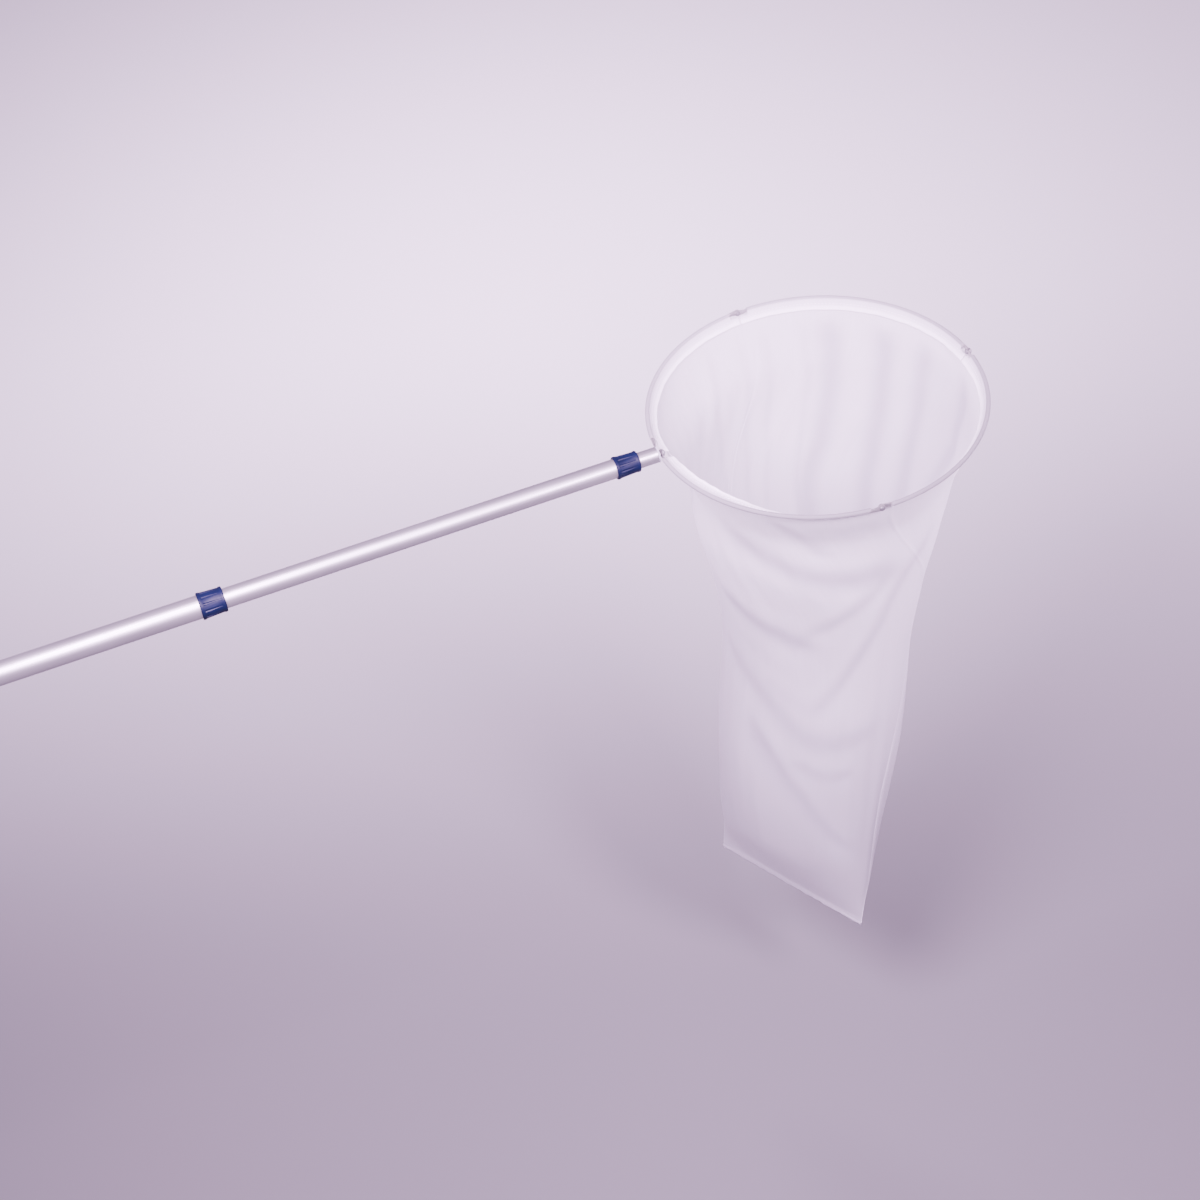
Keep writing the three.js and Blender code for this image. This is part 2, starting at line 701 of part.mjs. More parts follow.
// The bottom seam: both panels turned over together and sewn, a flat bar from corner to corner.
function bottomSeam() {
  const shape = new THREE.BoxGeometry(2 * bagLength(1), bottomSeamThickness, bottomSeamDrop);
  shape.rotateZ(bagTurn(1));
  shape.translate(bagX(1), bagY(1), bagZ(1) - gap - bottomSeamDrop / 2);
  return shape;
}

add("bag_front_panel", bagPanel(1), "mesh", hoop);
add("bag_rear_panel", bagPanel(-1), "mesh", hoop);
add("bag_right_seam", sideSeam(1), "mesh", hoop);
add("bag_left_seam", sideSeam(-1), "mesh", hoop);
add("bag_bottom_seam", bottomSeam(), "mesh", hoop);

export default net;
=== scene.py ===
import math

import bmesh
import bpy
import numpy as np
from mathutils import Matrix, Vector


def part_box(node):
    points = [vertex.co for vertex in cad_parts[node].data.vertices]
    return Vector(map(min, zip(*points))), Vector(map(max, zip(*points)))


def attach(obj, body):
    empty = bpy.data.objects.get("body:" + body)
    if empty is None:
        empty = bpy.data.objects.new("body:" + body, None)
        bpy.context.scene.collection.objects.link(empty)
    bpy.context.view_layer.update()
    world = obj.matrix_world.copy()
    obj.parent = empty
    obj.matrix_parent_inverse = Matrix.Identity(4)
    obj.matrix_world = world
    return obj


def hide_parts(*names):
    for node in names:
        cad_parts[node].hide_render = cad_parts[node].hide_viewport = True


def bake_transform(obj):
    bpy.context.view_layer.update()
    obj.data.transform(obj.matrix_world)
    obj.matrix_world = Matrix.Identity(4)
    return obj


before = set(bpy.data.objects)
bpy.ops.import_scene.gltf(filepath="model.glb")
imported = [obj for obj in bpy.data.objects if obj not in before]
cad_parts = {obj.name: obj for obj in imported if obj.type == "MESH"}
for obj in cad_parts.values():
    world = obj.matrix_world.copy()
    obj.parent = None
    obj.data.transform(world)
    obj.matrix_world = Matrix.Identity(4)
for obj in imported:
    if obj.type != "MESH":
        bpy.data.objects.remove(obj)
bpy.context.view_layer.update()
print("frame loaded:", len(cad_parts), "nodes")

hoop = {
    "radius": 0.190,
    "hingeBack": 0.013,  # from the hoop's middle back to the line through the side hinges
    "sideHinge": 93.92,  # degrees round the hoop from its tip
}
tipLow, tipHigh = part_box("rivet_tip")
hoopX = (tipLow.x + tipHigh.x) / 2 - hoop["radius"]
hingeX = hoopX - hoop["hingeBack"]
everything = bpy.context.scene.collection


def node(tree, kind, inputs=None, **settings):
    # Adds a node. An input that is another node's socket is linked, and any other is set.
    made = tree.nodes.new(kind)
    for name, value in settings.items():
        setattr(made, name, value)
    for key, value in (inputs or {}).items():
        if isinstance(value, bpy.types.NodeSocket):
            tree.links.new(value, made.inputs[key])
        else:
            made.inputs[key].default_value = value
    return made


def newMaterial(name, look):
    material = bpy.data.materials.new(name)
    material.use_nodes = True
    shader = material.node_tree.nodes["Principled BSDF"]
    shader.inputs["Base Color"].default_value = (*look["color"], 1)
    shader.inputs["Roughness"].default_value = look["roughness"]
    shader.inputs["Metallic"].default_value = look.get("metallic", 0.0)
    return material, material.node_tree, shader


def dress(tree, shader, color, roughness=None, normal=None):
    for name, socket in (("Base Color", color), ("Roughness", roughness), ("Normal", normal)):
        if socket is not None:
            tree.links.new(socket, shader.inputs[name])


def objectCoords(tree, scale=(1, 1, 1), rotation=(0, 0, 0)):
    coords = node(tree, "ShaderNodeTexCoord").outputs["Object"]
    inputs = {"Vector": coords, "Scale": scale, "Rotation": rotation}
    return node(tree, "ShaderNodeMapping", inputs).outputs["Vector"]


def splitCoords(tree, coords):
    return node(tree, "ShaderNodeSeparateXYZ", {"Vector": coords}).outputs


def noise(tree, coords, scale, detail=3.0, rough=0.5):
    inputs = {"Vector": coords, "Scale": scale, "Detail": detail, "Roughness": rough}
    return node(tree, "ShaderNodeTexNoise", inputs).outputs["Fac"]


def maths(tree, operation, *values):
    return node(tree, "ShaderNodeMath", dict(enumerate(values)), operation=operation).outputs[0]


def painted(tree, name):
    return node(tree, "ShaderNodeAttribute", attribute_name=name, attribute_type="GEOMETRY").outputs["Fac"]


def spread(tree, value, low, high, fromLow=0.3, fromHigh=0.7):
    inputs = {"Value": value, "From Min": fromLow, "From Max": fromHigh, "To Min": low, "To Max": high}
    return node(tree, "ShaderNodeMapRange", inputs).outputs["Result"]


def tint(tree, factor, first, second):
    made = node(tree, "ShaderNodeMix", data_type="RGBA")
    tree.links.new(factor, made.inputs[0])
    for socket, value in ((made.inputs[6], first), (made.inputs[7], second)):
        if isinstance(value, bpy.types.NodeSocket):
            tree.links.new(value, socket)
        else:
            socket.default_value = (*value, 1)
    return made.outputs[2]


def bump(tree, height, strength, distance, below=None):
    made = node(tree, "ShaderNodeBump", {"Height": height, "Strength": strength, "Distance": distance})
    if below is not None:
        tree.links.new(below, made.inputs["Normal"])
    return made.outputs["Normal"]


# Finishes. A scale counts per metre, and a relief is its strength and its depth in metres. Where there is a
# range of roughness, it takes the place of the single one.
aluminiumLook = {
    "color": (0.5, 0.49, 0.5),
    "roughness": 0.42,
    "metallic": 0.9,
    "clouds": (12, 40, 40),
    "cloudTones": ((0.46, 0.455, 0.46), (0.53, 0.525, 0.53)),
    "lines": (6, 900, 900),  # drawing lines run along the tube
    "lineTone": (0.42, 0.415, 0.42),
    "lineShare": 0.35,
    "lineRoughness": (0.37, 0.49),
    "relief": (0.12, 0.0002),
}


def anodisedAluminium():
    look = aluminiumLook
    material, tree, shader = newMaterial("anodisedAluminium", look)
    lines = noise(tree, objectCoords(tree, look["lines"]), 1.0, 4, 0.6)
    clouds = noise(tree, objectCoords(tree, look["clouds"]), 1.0)
    color = tint(tree, spread(tree, clouds, 0, 1), *look["cloudTones"])
    color = tint(tree, spread(tree, lines, 0, look["lineShare"]), color, look["lineTone"])
    roughness = spread(tree, lines, *look["lineRoughness"])
    dress(tree, shader, color, roughness, bump(tree, lines, *look["relief"]))
    return material


blueLook = {
    "color": (0.0018, 0.0045, 0.021),
    "roughness": 0.45,
    "specular": 0.2,
    "clouds": 60,
    "cloudTones": ((0.0016, 0.0038, 0.0175), (0.0024, 0.0056, 0.026)),
    "grain": 1400,
    "grainRoughness": (0.42, 0.54),
    "relief": (0.15, 0.0001),
}


def bluePlastic():
    look = blueLook
    material, tree, shader = newMaterial("bluePlastic", look)
    shader.inputs["Specular IOR Level"].default_value = look["specular"]
    grain = noise(tree, objectCoords(tree), look["grain"], 2)
    clouds = noise(tree, objectCoords(tree), look["clouds"], 2)
    color = tint(tree, spread(tree, clouds, 0, 1), *look["cloudTones"])
    roughness = spread(tree, grain, *look["grainRoughness"])
    dress(tree, shader, color, roughness, bump(tree, grain, *look["relief"]))
    return material


greyLook = {
    "color": (0.42, 0.42, 0.45),
    "roughness": 0.5,
    "grain": 900,
    "grainTones": ((0.38, 0.38, 0.41), (0.46, 0.46, 0.49)),
    "relief": (0.2, 0.0001),
}


def greyPlastic():
    look = greyLook
    material, tree, shader = newMaterial("greyPlastic", look)
    grain = noise(tree, objectCoords(tree), look["grain"])
    color = tint(tree, spread(tree, grain, 0, 1), *look["grainTones"])
    dress(tree, shader, color, normal=bump(tree, grain, *look["relief"]))
    return material


foamLook = {
    "color": (0.02, 0.02, 0.022),
    "roughness": 0.85,
    "cells": 1500,
    "wear": 35,
    "wearTones": ((0.016, 0.016, 0.018), (0.035, 0.035, 0.038)),
    "wearRoughness": (0.78, 0.95),
    "relief": (0.5, 0.0004),
}


def gripFoam():
    look = foamLook
    material, tree, shader = newMaterial("gripFoam", look)
    cells = node(tree, "ShaderNodeTexVoronoi", {"Vector": objectCoords(tree), "Scale": look["cells"]})
    wear = noise(tree, objectCoords(tree), look["wear"], 4)
    color = tint(tree, spread(tree, wear, 0, 1), *look["wearTones"])
    roughness = spread(tree, wear, *look["wearRoughness"])
    dress(tree, shader, color, roughness, bump(tree, cells.outputs["Distance"], *look["relief"]))
    return material


plating = {"spangle": 420, "dark": 0.78, "smoother": 0.08, "rougher": 0.12, "relief": (0.15, 0.0001)}
wireLook = {"color": (0.62, 0.6, 0.6), "roughness": 0.55, "metallic": 1.0}
pinLook = {"color": (0.34, 0.33, 0.34), "roughness": 0.6, "metallic": 1.0}


def platedSteel(name, look):
    material, tree, shader = newMaterial(name, look)
    spangle = noise(tree, objectCoords(tree), plating["spangle"])
    dark = tuple(c * plating["dark"] for c in look["color"])
    color = tint(tree, spread(tree, spangle, 0, 1), dark, look["color"])
    smoothest, roughest = look["roughness"] - plating["smoother"], look["roughness"] + plating["rougher"]
    roughness = spread(tree, spangle, smoothest, roughest)
    dress(tree, shader, color, roughness, bump(tree, spangle, *plating["relief"]))
    return material


clothLook = {
    "color": (0.94, 0.93, 0.94),
    "roughness": 0.9,
    "sheen": 0.15,
    "thread": 0.0009,  # from one thread to the next
    "edges": (0.35, 0.75),  # where a thread's wave begins and is full
    "opening": 0.86,  # how far the haze of fibres covers a hole
    "through": 0.42,  # share of the light that is let through
    "slubs": (260, 9, 1),
    "slubShare": 0.6,
    "clouds": 14,
    "cloudShare": 0.35,
    "shade": (0.86, 0.845, 0.87),
    "used": (0.42, 0.405, 0.43),  # painted shade, darker towards the foot
    "footShadeShare": 0.84,
    "footShadeHeights": (-0.6, -0.12),
    # painted shade in the folds and pleats
    "hollow": (0.56, 0.545, 0.58),
    "crinkle": (1, 1, 0.5),
    "crinkleSize": 45,
    "crinkleRelief": (0.35, 0.004),
    "threadRelief": (0.3, 0.0003),
}


def threadWaves(tree, uv, pitch):
    parts = splitCoords(tree, uv)
    turns = [maths(tree, "MULTIPLY", parts[axis], 2 * math.pi / pitch) for axis in ("X", "Y")]
    return [maths(tree, "SINE", turn) for turn in turns]


def meshCloth():
    # A fine knitted mesh: threads both ways from the piece's own UV map, which is in metres.
    look = clothLook
    material, tree, shader = newMaterial("meshCloth", look)
    shader.inputs["Sheen Weight"].default_value = look["sheen"]
    uv = node(tree, "ShaderNodeUVMap", uv_map="weave").outputs["UV"]
    waves = [maths(tree, "ABSOLUTE", wave) for wave in threadWaves(tree, uv, look["thread"])]
    threads = maths(tree, "MAXIMUM", *waves)
    covered = spread(tree, threads, look["opening"], 1.0, *look["edges"])
    streaks = node(tree, "ShaderNodeMapping", {"Vector": uv, "Scale": look["slubs"]}).outputs["Vector"]
    slubs = noise(tree, streaks, 1.0, 4, 0.6)
    clouds = noise(tree, objectCoords(tree), look["clouds"])
    tone = tint(tree, spread(tree, slubs, 0, look["slubShare"]), look["color"], look["shade"])
    tone = tint(tree, spread(tree, clouds, 0, look["cloudShare"]), tone, look["shade"])
    height = splitCoords(tree, objectCoords(tree))["Z"]
    # Painted shade, darker towards the foot.
    tone = tint(tree, spread(tree, height, look["footShadeShare"], 0, *look["footShadeHeights"]), tone, look["used"])
    # Painted shade in the folds and pleats.
    tone = tint(tree, painted(tree, "hollow"), tone, look["hollow"])
    crinkle = noise(tree, objectCoords(tree, look["crinkle"]), look["crinkleSize"], 5, 0.55)
    soft = bump(tree, crinkle, *look["crinkleRelief"])
    dress(tree, shader, tone, normal=bump(tree, threads, *look["threadRelief"], soft))
    glow = node(tree, "ShaderNodeBsdfTranslucent", {"Color": tone}).outputs[0]
    cloth = node(tree, "ShaderNodeMixShader", {0: look["through"], 1: shader.outputs[0], 2: glow}).outputs[0]
    hole = node(tree, "ShaderNodeBsdfTransparent").outputs[0]
    seen = node(tree, "ShaderNodeMixShader", {0: covered, 1: hole, 2: cloth}).outputs[0]
    tree.links.new(seen, tree.nodes["Material Output"].inputs["Surface"])
    return material


hemLook = {
    "color": (0.94, 0.93, 0.94),
    "roughness": 0.88,
    "sheen": 0.1,
    "thread": 0.0008,
    "mottle": 60,
    "mottleShare": 0.6,
    "tones": ((0.66, 0.65, 0.665), (0.6, 0.59, 0.605)),
    "edge": (0.86, 0.85, 0.86),  # rolled lower edge
    "edgeReach": (0.004, 0.0075),
    "metal": (0.15, 0.145, 0.15),
    "puckerRelief": (0.4, 0.0015),
    "threadRelief": (0.25, 0.0002),
}


def hemCloth():
    # Doubled tape. Where it is tight on the wire the grey steel shows through; this grey is partly painted
    # shade, strongest on the near side.
    look = hemLook
    material, tree, shader = newMaterial("hemCloth", look)
    shader.inputs["Sheen Weight"].default_value = look["sheen"]
    uv = node(tree, "ShaderNodeUVMap", uv_map="weave").outputs["UV"]
    weave = maths(tree, "MULTIPLY", *threadWaves(tree, uv, look["thread"]))
    mottle = noise(tree, objectCoords(tree), look["mottle"], 4)
    tone = tint(tree, spread(tree, mottle, 0, look["mottleShare"]), *look["tones"])
    tone = tint(tree, spread(tree, splitCoords(tree, uv)["Y"], 1, 0, *look["edgeReach"]), tone, look["edge"])
    # Grey of the wire showing through, partly painted shade.
    tone = tint(tree, painted(tree, "overWire"), tone, look["metal"])
    puckers = bump(tree, mottle, *look["puckerRelief"])
    dress(tree, shader, tone, normal=bump(tree, weave, *look["threadRelief"], puckers))
    return material


threadLook = {
    "color": (0.9, 0.88, 0.91),
    "roughness": 0.7,
    "twist": 900,
    "lay": (0.5, 0.6, 0),
    "tones": ((0.84, 0.82, 0.86), (0.93, 0.91, 0.94)),
    "relief": (0.3, 0.0001),
}


def sewingThread():
    look = threadLook
    material, tree, shader = newMaterial("sewingThread", look)
    coords = objectCoords(tree, rotation=look["lay"])
    twist = node(tree, "ShaderNodeTexWave", {"Vector": coords, "Scale": look["twist"]}).outputs["Fac"]
    dress(tree, shader, tint(tree, twist, *look["tones"]), normal=bump(tree, twist, *look["relief"]))
    return material


aluminium = anodisedAluminium()
blue = bluePlastic()
grey = greyPlastic()
foam = gripFoam()
wireSteel = platedSteel("wireSteel", wireLook)
pinSteel = platedSteel("pinSteel", pinLook)
cloth = meshCloth()
hemTape = hemCloth()
thread = sewingThread()
print("finishes made")


def newTree(name, inputs):
    # A Geometry Nodes tree from geometry to geometry, with the named inputs.
    tree = bpy.data.node_groups.new(name, "GeometryNodeTree")
    tree.interface.new_socket("Geometry", in_out="INPUT", socket_type="NodeSocketGeometry")
    for label, kind in inputs.items():
        tree.interface.new_socket(label, in_out="INPUT", socket_type=kind)
    tree.interface.new_socket("Geometry", in_out="OUTPUT", socket_type="NodeSocketGeometry")
    return tree, node(tree, "NodeGroupInput").outputs


def applyTree(made, tree, values):
    rule = made.modifiers.new(tree.name, "NODES")
    rule.node_group = tree
    sockets = {s.name: s.identifier for s in tree.interface.items_tree if s.in_out == "INPUT"}
    for name, value in values.items():
        rule[sockets[name]] = value


# The CAD nodes that are carried over get their finish and smooth shading.
shading = {"edgeAngle": 32, "mergeGap": 0.00001}
nodeFinish = {
    "tube": aluminium,
    "collar": blue,
    "cap": blue,
    "ferrule": grey,
    "bush": grey,
    "insert": grey,
    "hand_grip": foam,
    "hoop_bolt": pinSteel,
    "rivet": pinSteel,
    "hoop_": wireSteel,
}


def smoothFaces():
    # Joins the loose triangles and shades them smooth up to an edge angle.
    tree, start = newTree("smoothFaces", {"Edge Angle": "NodeSocketFloat"})
    inputs = {"Geometry": start["Geometry"], "Distance": shading["mergeGap"]}
    merged = node(tree, "GeometryNodeMergeByDistance", inputs).outputs[0]
    faces = node(tree, "GeometryNodeSetShadeSmooth", {"Geometry": merged}, domain="FACE").outputs[0]
    angle = node(tree, "GeometryNodeInputMeshEdgeAngle").outputs["Unsigned Angle"]
    inputs = {0: angle, 1: start["Edge Angle"]}
    sharp = node(tree, "FunctionNodeCompare", inputs, operation="GREATER_THAN").outputs[0]
    inputs = {"Geometry": faces, "Selection": sharp, "Shade Smooth": False}
    edges = node(tree, "GeometryNodeSetShadeSmooth", inputs, domain="EDGE").outputs[0]
    node(tree, "NodeGroupOutput", {"Geometry": edges})
    return tree


smoothTree = smoothFaces()
for name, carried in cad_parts.items():
    finish = next((finish for word, finish in nodeFinish.items() if word in name), None)
    if finish is None:
        continue
    carried.data.materials.clear()
    carried.data.materials.append(finish)
    applyTree(carried, smoothTree, {"Edge Angle": math.radians(shading["edgeAngle"])})
print("CAD nodes finished")


# The bag. A place on it is its share of the way down and its degrees round the bag from the right seam.
bag = {
    "top": 0.0140,  # inside the hem's band
    "hemEdge": 0.0148,
    "bottom": 0.750,
    "stripEnd": 0.046,  # lower edge of the strip that follows the front of the hoop
    "columns": 320,
    "fineStep": 0.42,
    "fineColumns": 13,  # from a side seam on to its hinge
    "fineBeyond": 6,  # on the seam's other side
    "stripRows": 26,
    "rows": 210,
    "turnTop": -90,  # degrees from the pole's line to the right seam
    "turnBottom": -61,
    "turnEnd": 0.31,
    "flat": 0.0032,  # half width at the foot
    "holdFade": 0.028,  # how the hem's hold on the cloth fades with depth
    "holdEnd": 0.15,
    "holdSoft": 0.06,
    "reliefTop": 0.03,  # folds and pleats fade in below the hem, and out at the foot
    "reliefFoot": 0.05,
    "reliefRoom": 0.04,  # half width that leaves room for their whole height
    "reliefLeast": 0.05,
    "hollowTop": 0.02,
    "weavePerDegree": 0.0025,
}
hem = {
    "around": 0.0026,  # radius of the casing round the wire
    "band": 0.00095,
    "lip": 0.0005,  # rolled lower edge
    "lipUp": 0.0012,
    "lipHeight": 0.0011,
    "drop": 0.0145,
    "neck": {"width": 0.72, "foot": 2.1, "height": 1.6},  # shares of the radius
    "under": 25,  # degrees that the round part goes on below the wire's middle
    "bandPoints": 12,
    "roundPoints": 17,
    "notch": 0.0056,
    "notchEnd": 0.0005,
    "notchSteps": (0.0002, 0.0007),
    "flapHeight": 0.08,  # what is left of the casing above a flap
    "sewn": 0.0137,  # where the bag's top edge sits in the band
    "step": 0.0025,
    "cloth": 0.0006,
    "lean": 36,
    "drag": 50,  # added beside the pole
    "dragAt": 202,
    "dragOver": 0.5,  # radians
    "puckers": ((0.00022, 0.0031), (0.00025, 0.0073)),  # height of each wave and its length over a radian
    "sways": ((0.0004, 0.021), (0.0003, 0.047)),
    "wavy": {"share": 0.6, "from": 0.003, "over": 0.008},  # depth where the waves begin and grow full
    # How strongly the wire shows through with painted shade, more on the near side, and from which height on
    # the two faces
    "wireShowAndShade": {"middle": 0.76, "near": 0.16, "outer": 0.0002, "inner": -0.0016, "over": 0.0013},
    "weaveStep": 0.0011,
}
# share of the way down: half length, half width, and the middle's x and y, as shares of the hoop's radius
bagSections = [
    (0, 1, 1, 0, 0),
    (0.08, 0.82, 0.82, 0, -0.04),
    (0.18, 0.76, 0.74, -0.04, -0.06),
    (0.31, 0.68, 0.63, -0.06, -0.07),
    (0.44, 0.63, 0.54, -0.1, -0.11),
    (0.62, 0.64, 0.52, -0.21, -0.16),
    (0.81, 0.61, 0.38, -0.35, -0.26),
    (1, 0.595, 0, -0.47, -0.34),
]


def smooth(t):
    t = np.clip(t, 0, 1)
    return t * t * (3 - 2 * t)


def sectionCurve(column):
    # Goes smoothly through the sections and stays between them.
    at = np.array([s[0] for s in bagSections], float)
    size = np.array([s[column] for s in bagSections], float) * hoop["radius"]
    rise = np.diff(size) / np.diff(at)
    slope = np.zeros(len(size))
    slope[0], slope[-1] = rise[0], rise[-1]
    for i in range(1, len(size) - 1):
        product = rise[i - 1] * rise[i]
        slope[i] = 0 if product <= 0 else 2 * product / (rise[i - 1] + rise[i])

    def sizeAt(down):
        i = np.clip(np.searchsorted(at, down, side="right") - 1, 0, len(at) - 2)
        step = at[i + 1] - at[i]
        t = (down - at[i]) / step
        lift = t * (1 - t) ** 2 * step * slope[i] - t * t * (1 - t) * step * slope[i + 1]
        return size[i] + (size[i + 1] - size[i]) * smooth(t) + lift

    return sizeAt


bagLength, bagWidth, bagMidX, bagMidY = (sectionCurve(column) for column in (1, 2, 3, 4))

# The right seam leans round towards the front: degrees at shares of the way down
seam = {
    "line": [(0, 0), (0.1, 3), (0.18, 8), (0.3, 15), (0.415, 19), (0.505, 13), (0.6, 7), (0.7, 2), (1, 0)],
    "drawn": 38,  # degrees round the seam over which the cloth goes with it
    "height": 0.9,  # millimetres, as is the width
    "width": 2.4,
    "leftShare": 0.3,
}
# Folds as they hang. Each line runs from left to right through places on the bag. A ridge, as (height, width)
# in millimetres, stands out above the line, and a valley falls back under it, each at the given distance from
# the line. Painted shade lies along the valley side of the line, as (strength, width).
folds = [
    {
        "line": [
            *((0.082, -84), (0.095, -71), (0.107, -62), (0.122, -55)),
            *((0.141, -42), (0.152, -27), (0.152, -13), (0.136, 2)),
        ],
        "ridge": (1.1, 20),
        "valley": (2.2, 28),
        "apart": 15,
        "hollow": (0.69, 19),
    },
    {
        "line": [(0.008, -44), (0.03, -38), (0.062, -34), (0.113, -30)],
        "ridge": (0.5, 10),
        "valley": (0.7, 12),
        "apart": 6,
        "hollow": (0.44, 9),
    },
    {
        "line": [(0.258, -116), (0.278, -104), (0.294, -93), (0.307, -80), (0.318, -66), (0.312, -54)],
        "ridge": (1.0, 20),
        "valley": (2.0, 26),
        "apart": 14,
        "hollow": (0.81, 17),
    },
    {
        "line": [(0.305, -66), (0.285, -56), (0.256, -44), (0.228, -32), (0.19, -16), (0.15, -4)],
        "ridge": (1.0, 12),
        "valley": (0.9, 14),
        "apart": 8,
        "hollow": (0.38, 8),
    },
    {
        "line": [
            *((0.5, -66), (0.45, -53), (0.4, -42), (0.352, -34), (0.3, -26)),
            *((0.242, -16), (0.19, -2), (0.147, 12), (0.09, 24)),
        ],
        "ridge": (1.5, 12),
        "valley": (1.1, 14),
        "apart": 8,
        "hollow": (0.5, 9),
    },
    {
        "line": [
            *((0.4, -142), (0.42, -130), (0.453, -104), (0.485, -84)),
            *((0.53, -64), (0.541, -46), (0.535, -24), (0.51, -8)),
        ],
        "ridge": (2.1, 28),
        "valley": (1.2, 22),
        "apart": 17,
        "hollow": (0.56, 16),
    },
    {
        "line": [(0.425, -92), (0.442, -82), (0.46, -71), (0.472, -60), (0.455, -48)],
        "ridge": (0.0, 8),
        "valley": (0.7, 14),
        "apart": 2,
        "hollow": (0.44, 12),
    },
    {
        "line": [
            *((0.53, -108), (0.556, -97), (0.588, -86)),
            *((0.655, -68), (0.74, -48), (0.79, -32), (0.815, -14)),
        ],
        "ridge": (2.1, 13),
        "valley": (2.2, 26),
        "apart": 12,
        "hollow": (1.0, 21),
    },
    {
        "line": [(0.586, -72), (0.606, -58), (0.62, -44), (0.612, -28)],
        "ridge": (0.7, 11),
        "valley": (0.9, 14),
        "apart": 8,
        "hollow": (0.58, 13),
    },
]
# A flat map of the cloth, in millimetres, cut open on the far wall
foldMap = {"perDegree": 2.3, "perDown": 735.0, "cut": 130, "curveSteps": 14, "fade": 0.2, "hollowBelow": 0.3}
# Upright pleats of the far wall, the same way, but with one bulge each, which is as wide as its painted
# shade. The last one is only painted shade.
pleats = [
    {
        "line": [
            *((0, 151), (0.025, 150), (0.092, 144), (0.158, 135.5)),
            *((0.217, 129.5), (0.315, 129), (0.5, 122)),
        ],
        "bulge": (4, 14),
        "hollow": 0.7,
    },
    {
        "line": [(0, 130), (0.028, 128), (0.085, 122), (0.158, 111), (0.225, 103), (0.307, 97), (0.5, 90)],
        "bulge": (3, 14),
        "hollow": 0.7,
    },
    {
        "line": [(0, 111), (0.052, 107), (0.107, 99), (0.175, 88.5), (0.242, 79), (0.4, 70)],
        "bulge": (2, 13),
        "hollow": 0.55,
    },
    {
        "line": [(0, 88), (0.013, 86), (0.05, 76), (0.098, 66), (0.3, 58)],
        "bulge": (1.5, 13),
        "hollow": 0.5,
    },
    {
        "line": [(0, 161), (0.058, 158), (0.138, 148), (0.217, 139), (0.315, 134), (0.45, 128)],
        "bulge": (1.4, 6),
        "hollow": 0.24,
    },
    {
        "line": [(0, 178), (0.052, 174), (0.125, 167), (0.212, 156), (0.3, 152)],
        "bulge": (1.2, 7),
        "hollow": 0.18,
    },
    {
        "line": [(0, 188), (0.052, 184), (0.13, 178), (0.212, 168), (0.35, 160)],
        "bulge": (1, 7),
        "hollow": 0.15,
    },
    {
        "line": [(0, 200), (0.033, 199), (0.098, 200), (0.175, 189), (0.28, 176)],
        "bulge": (0.8, 7),
        "hollow": 0.12,
    },
    {"line": [(0, 80), (0.15, 66), (0.5, 58)], "bulge": (0, 110), "hollow": 0.58},
]
pleatMap = {"perDegree": 2.6, "fadeTop": 0.04, "past": 0.2, "fadeFoot": 0.3}
# Waves all over the cloth: height in millimetres, and the shares of the way down where they fade in and out
ripple = {"height": 0.3, "fadeTop": 0.08, "fadeFoot": 0.25}
swell = {"height": 1.5, "fadeTop": 0.2, "fadeFoot": 0.12}


def hemTilt(angle):
    # How far the hem's band leans in under the wire, most beside the pole where the bag drags it.
    off = np.mod(angle - math.radians(hem["dragAt"]) + math.pi, 2 * math.pi) - math.pi
    return np.radians(hem["lean"] + hem["drag"] * np.exp(-((off / hem["dragOver"]) ** 2)))


def shareDown(depth):
    return (depth - bag["hemEdge"]) / (bag["bottom"] - bag["hemEdge"])


def seamLean(depth, around):
    # Lets the columns beside the right seam follow its path.
    degrees = np.interp(np.clip(shareDown(depth), 0, 1), *zip(*seam["line"]))
    return around + np.radians(degrees) * np.exp(-((np.degrees(around) / seam["drawn"]) ** 2))


def bagPoints(depth, around):
    down = np.clip(shareDown(depth), 0, 1)
    turn = np.radians(bag["turnTop"] + (bag["turnBottom"] - bag["turnTop"]) * smooth(down / bag["turnEnd"]))
    along = bagLength(down) * np.cos(around)
    across = np.maximum(bagWidth(down), bag["flat"]) * np.sin(around)
    x = hoopX + bagMidX(down) + along * np.cos(turn) - across * np.sin(turn)
    y = bagMidY(down) + along * np.sin(turn) + across * np.cos(turn)
    angle = around + math.radians(bag["turnTop"])
    lean = hemTilt(angle)
    hold = np.exp(-np.maximum(depth - bag["top"], 0) / bag["holdFade"])
    hold = hold * smooth((bag["holdEnd"] - depth) / bag["holdSoft"])
    inward = hem["sewn"] * np.sin(lean) * hold
    lift = (bag["top"] - hem["sewn"] * np.cos(lean)) * hold
    return np.stack([x - inward * np.cos(angle), y - inward * np.sin(angle), lift - depth], -1)


def throughPoints(points):
    # A smooth curve through the points, with a few steps between each pair.
    p = np.array(points, float)
    p = np.vstack([2 * p[0] - p[1], p, 2 * p[-1] - p[-2]])
    out = []
    for i in range(1, len(p) - 2):
        a, b, c, d = p[i - 1 : i + 3]
        for t in np.linspace(0, 1, foldMap["curveSteps"], endpoint=False):
            square, cube = 2 * a - 5 * b + 4 * c - d, 3 * b - a - 3 * c + d
            out.append(0.5 * (2 * b + (c - a) * t + square * t**2 + cube * t**3))
    return np.vstack([out, p[-2]])


def fades(share, top, foot):
    return smooth(share / top) * smooth((1 - share) / foot)


